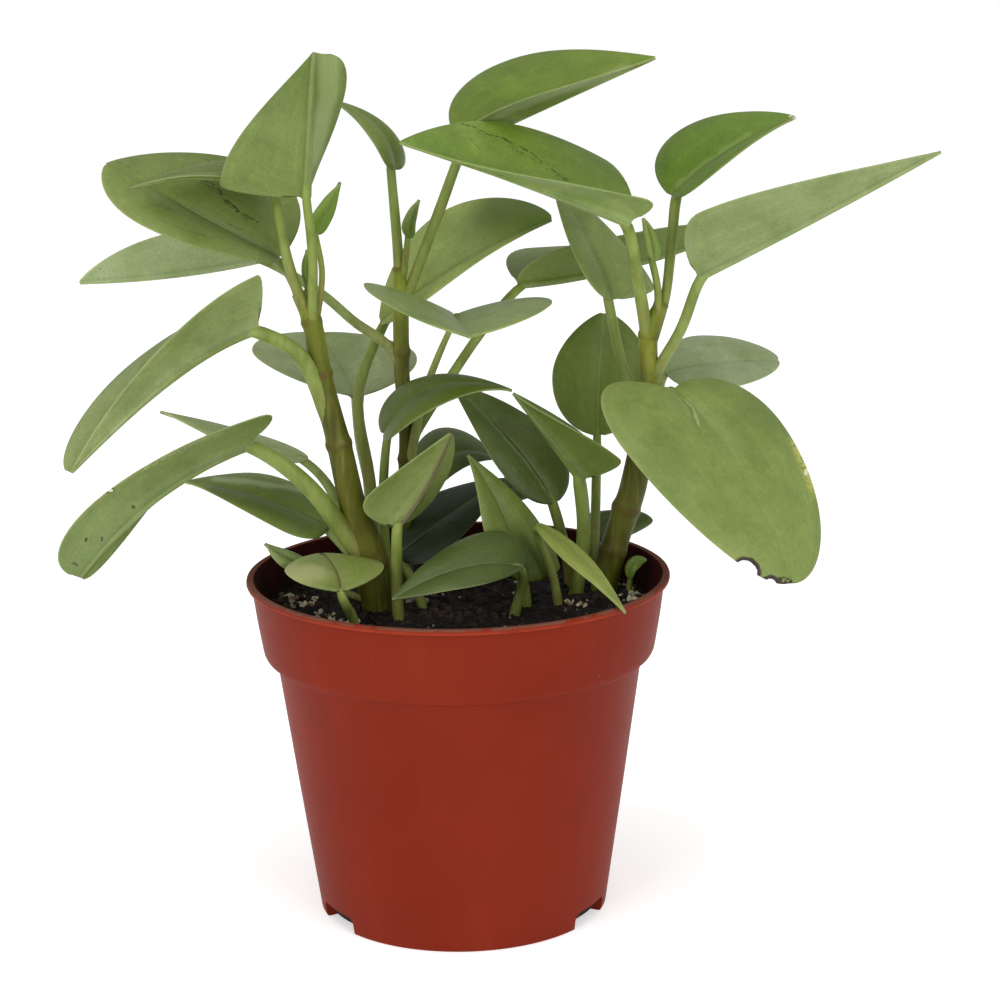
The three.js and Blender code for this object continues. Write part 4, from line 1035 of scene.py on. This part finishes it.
grow("leaf_low_arched", (-20, 2, 138), (-6, -4, 152), (16, -10, 152),
     left=((-5.5, 12, 1), (0, 10, 1.5), 0.35, 1),
     right=((0, -13, -4.5), (1, -10, -2.5), 0.35, 1.1),
     stalk=[(-17, 4, 76), (-20, 6, 95), (-21, 6, 112), (-20.5, 5, 127)], thick=(1.7, 1.2),
     upper=rgb(84, 100, 32), under=rgb(112, 128, 70))
# A painted highlight along the midrib.
midrib_highlight_blade = waxy_blade("midrib_highlight_blade", [
    ([(39.5, -1), (23.5, -2), (2.5, -1)], 0.9, 0.1, rgb(136, 154, 104), 0.45, 0),
])
grow("leaf_low_dark", (28, 12, 115), (17, 16, 131), (-0.6, 22, 147.8),
     left=((-9, -6, -2), (-7, -6, 0), 0.4, 0.8),
     right=((9.4, 6, 3), (8, 6, 5), 0.4, 0.8),
     stalk=[(34, 19, 76), (32, 17, 95), (30, 15, 105)], thick=(1.7, 1.5),
     upper=rgb(86, 100, 46), under=rgb(90, 106, 48), finish=midrib_highlight_blade)
grow("leaf_low_folded", (36, 2, 124), (26.6, 0, 136.6), (16, -2, 150),
     left=((12.5, -10, 5), (5, -8, 4), 0.12, 1.1),
     right=((7, 16, 1), (6, 10, 3), 0.2, 1),
     stalk=[(31, 9, 76), (34, 8, 90), (36, 5, 107)], thick=(2.2, 1.9),
     upper=rgb(96, 114, 48), under=rgb(98, 116, 50))
grow("leaf_low_bright", (-17.5, -18, 116), (-9.6, -15, 125.5), (-1.2, -15, 141.6),
     left=((1, 12, -4), (6, 12, -6), 0.35, 0.6),
     right=((-13, -8, 5.5), (-6, -8, 6.5), 0.3, 0.8),
     stalk=[(-16, -14, 76), (-17, -15, 92), (-17, -17, 104)], thick=(1.7, 1.5),
     upper=rgb(112, 128, 64), under=rgb(120, 134, 70), vein=(0.1, 0.055, 0.03, 0.75))
grow("leaf_low_shaded", (-17, 10, 101), (-3, 16, 110), (14, 21, 120),
     left=((-7, 12, 6), (0, 12, 4), 0.4, 0.8),
     right=((3, -8, -6), (3, -8, -4), 0.4, 0.8),
     stalk=[(-8, -3, 76), (-11, 1, 90)], thick=(1.6, 1.2),
     upper=rgb(30, 40, 10), under=rgb(60, 72, 32))
grow("leaf_low_grey", (-15, 31, 113), (-2, 37, 124), (12, 43, 121),
     left=((-3, 12, 8), (0, 12, 4), 0.4, 0.8),
     right=((2, -6, -7), (0, -6, -3), 0.4, 0.8),
     stalk=[(-13, 29, 76), (-15, 29, 96)], thick=(1.5, 1.2),
     upper=rgb(84, 98, 48), under=rgb(116, 128, 90))
grow("leaf_low_leaning", (19, -4, 96), (13, -4, 115), (3, -4, 133),
     left=((-9, -8, 3), (-5, -7, 0), 0.3, 1),
     right=((11, 8, -1.8), (10, 8, 1), 0.1, 1),
     stalk=[(19, 2, 76), (19, -1, 86)], thick=(2.1, 1.7),
     upper=rgb(106, 120, 50), under=rgb(104, 120, 56))
grow("leaf_low_front", (18, -18, 104), (1, -28, 106.5), (-18, -36, 100),
     left=((-3, -10, -2), (-1, -10, -6), 0.3, 1),
     right=((2, 11, 7), (-3, 10, 6), 0.25, 0.9),
     stalk=[(13, -9, 76), (16, -11, 90), (18, -14, 98)], thick=(1.6, 1.2),
     upper=rgb(76, 90, 40), under=rgb(116, 132, 78))
grow("leaf_low_over_rim", (22, -10, 114), (34, -27, 107.5), (44.5, -45, 97.6),
     left=((1, 5, -0.5), (2, 5, 0), 0.35, 1),
     right=((-2, -8, -1), (-2, -6, -1), 0.35, 1),
     stalk=[(30, -2, 76), (27, -3, 96), (23, -6, 108)], thick=(1.4, 1.1),
     upper=rgb(134, 144, 68), under=rgb(116, 132, 78))
blotched_blade = waxy_blade("blotched_blade", [
    ([(14, -16), (8, -12), (8, -7)], 8, 0.2, rgb(172, 172, 118), 0.65, 0),
    ([(22.5, -0.5), (22, 0)], 0.9, 0.6, rgb(48, 34, 22), 0.9, 0),
])
grow("leaf_low_left", (-32, -30, 101), (-34, -18, 104), (-38, -8, 106),
     left=((-14, 0, 1), (-14, 0, -1), 0.45, 0.6),
     right=((13, 2, 2.5), (13, 0, 0), 0.45, 0.6),
     stalk=[(-28, -17, 76), (-29, -22, 90), (-31, -28, 97)], thick=(1.5, 1.2),
     upper=rgb(128, 138, 72), under=rgb(134, 146, 88), finish=blotched_blade,
     vein=(0.09, 0.05, 0.025, 0.75))
grow("leaf_low_behind", (44, 30, 98.5), (48, 35, 102), (54, 39, 105),
     left=((-12, 2, 3), (-9, 0, 3), 0.5, 0.6),
     right=((9.5, 2, 0.5), (9, 0, -1), 0.5, 0.6),
     stalk=[(40, 30, 76), (42, 30, 88)], thick=(1.4, 1.1),
     upper=rgb(78, 92, 40), under=rgb(80, 94, 44))
grow("leaf_low_back", (14, 32, 113), (24, 34, 119), (35, 36, 122),
     left=((-2, 10, 5), (0, 8, 3), 0.4, 0.9),
     right=((2, -8, -4), (1, -6, -3), 0.4, 0.9),
     stalk=[(10, 28, 76), (12, 29, 97)], thick=(1.4, 1.1),
     upper=rgb(90, 106, 48), under=rgb(128, 140, 100))
grow("seedling", (49, 9, 93), (51, 9, 97), (54, 9, 98),
     left=((-1, 3, 1), (0, 2, 1), 0.45, 0.7),
     right=((1, -3, -1), (0, -2, -1), 0.45, 0.7),
     stalk=[(49, 9, 76), (49, 9, 86)], thick=(0.9, 0.8),
     upper=rgb(112, 136, 50), under=rgb(112, 128, 64))

# ---------------------------------------------------------------------------------------------
# Floor, light and camera: a pale floor under a white sky, three large softboxes above and in front
# of the plant, and the camera, fitted to the pot's rim, collar and foot.
# ---------------------------------------------------------------------------------------------

bpy.ops.mesh.primitive_plane_add(size=60, location=(0, 0, 0))
floor = bpy.context.object
floor.name = "floor"
pale = Finish("pale_floor", Roughness=0.9, Specular_IOR_Level=0.1)
pale.shader.inputs["Base Color"].default_value = (0.9, 0.9, 0.9, 1)
pale.shader.inputs["Emission Color"].default_value = (1, 1, 1, 1)
pale.shader.inputs["Emission Strength"].default_value = 0.45
floor.data.materials.append(pale.material)

sky = bpy.data.worlds.new("studio")
sky.use_nodes = True
sky.node_tree.nodes["Background"].inputs["Color"].default_value = (1, 1, 1, 1)
sky.node_tree.nodes["Background"].inputs["Strength"].default_value = 0.6
bpy.context.scene.world = sky

PLANT_MIDDLE = Vector((0, 0, 0.13))


def softbox(name, place, width, power):
    """A large square light that faces the plant."""
    bpy.ops.object.light_add(type="AREA", location=place)
    lamp = bpy.context.object
    lamp.name = name
    lamp.data.size = width
    lamp.data.energy = power
    toward = PLANT_MIDDLE - Vector(place)
    lamp.rotation_euler = toward.to_track_quat("-Z", "Y").to_euler()


softbox("softbox_above", place=(0, -0.5, 1.9), width=1.2, power=9)
softbox("softbox_left", place=(-1.4, -1.7, 0.9), width=1.3, power=16)
softbox("softbox_right", place=(1.3, -1.8, 0.9), width=1.3, power=13)

camera_data = bpy.data.cameras.new("camera")
camera_data.sensor_width = 36
camera_data.lens = 92.52
camera = bpy.data.objects.new("camera", camera_data)
bpy.context.collection.objects.link(camera)
# What the fit gave, in metres and radians.
CAMERA_AWAY = 0.7056
CAMERA_ABOVE = 0.2864
CAMERA_TURN = -0.0172
CAMERA_DOWN = 0.2331
CAMERA_ROLL = -0.0138
camera.matrix_world = (
    Matrix.Translation((0, -CAMERA_AWAY, CAMERA_ABOVE))
    @ Matrix.Rotation(CAMERA_TURN, 4, "Z")
    @ Matrix.Rotation(math.pi / 2 - CAMERA_DOWN, 4, "X")
    @ Matrix.Rotation(CAMERA_ROLL, 4, "Z")
)
bpy.context.scene.camera = camera
bpy.context.scene.view_settings.view_transform = "Standard"
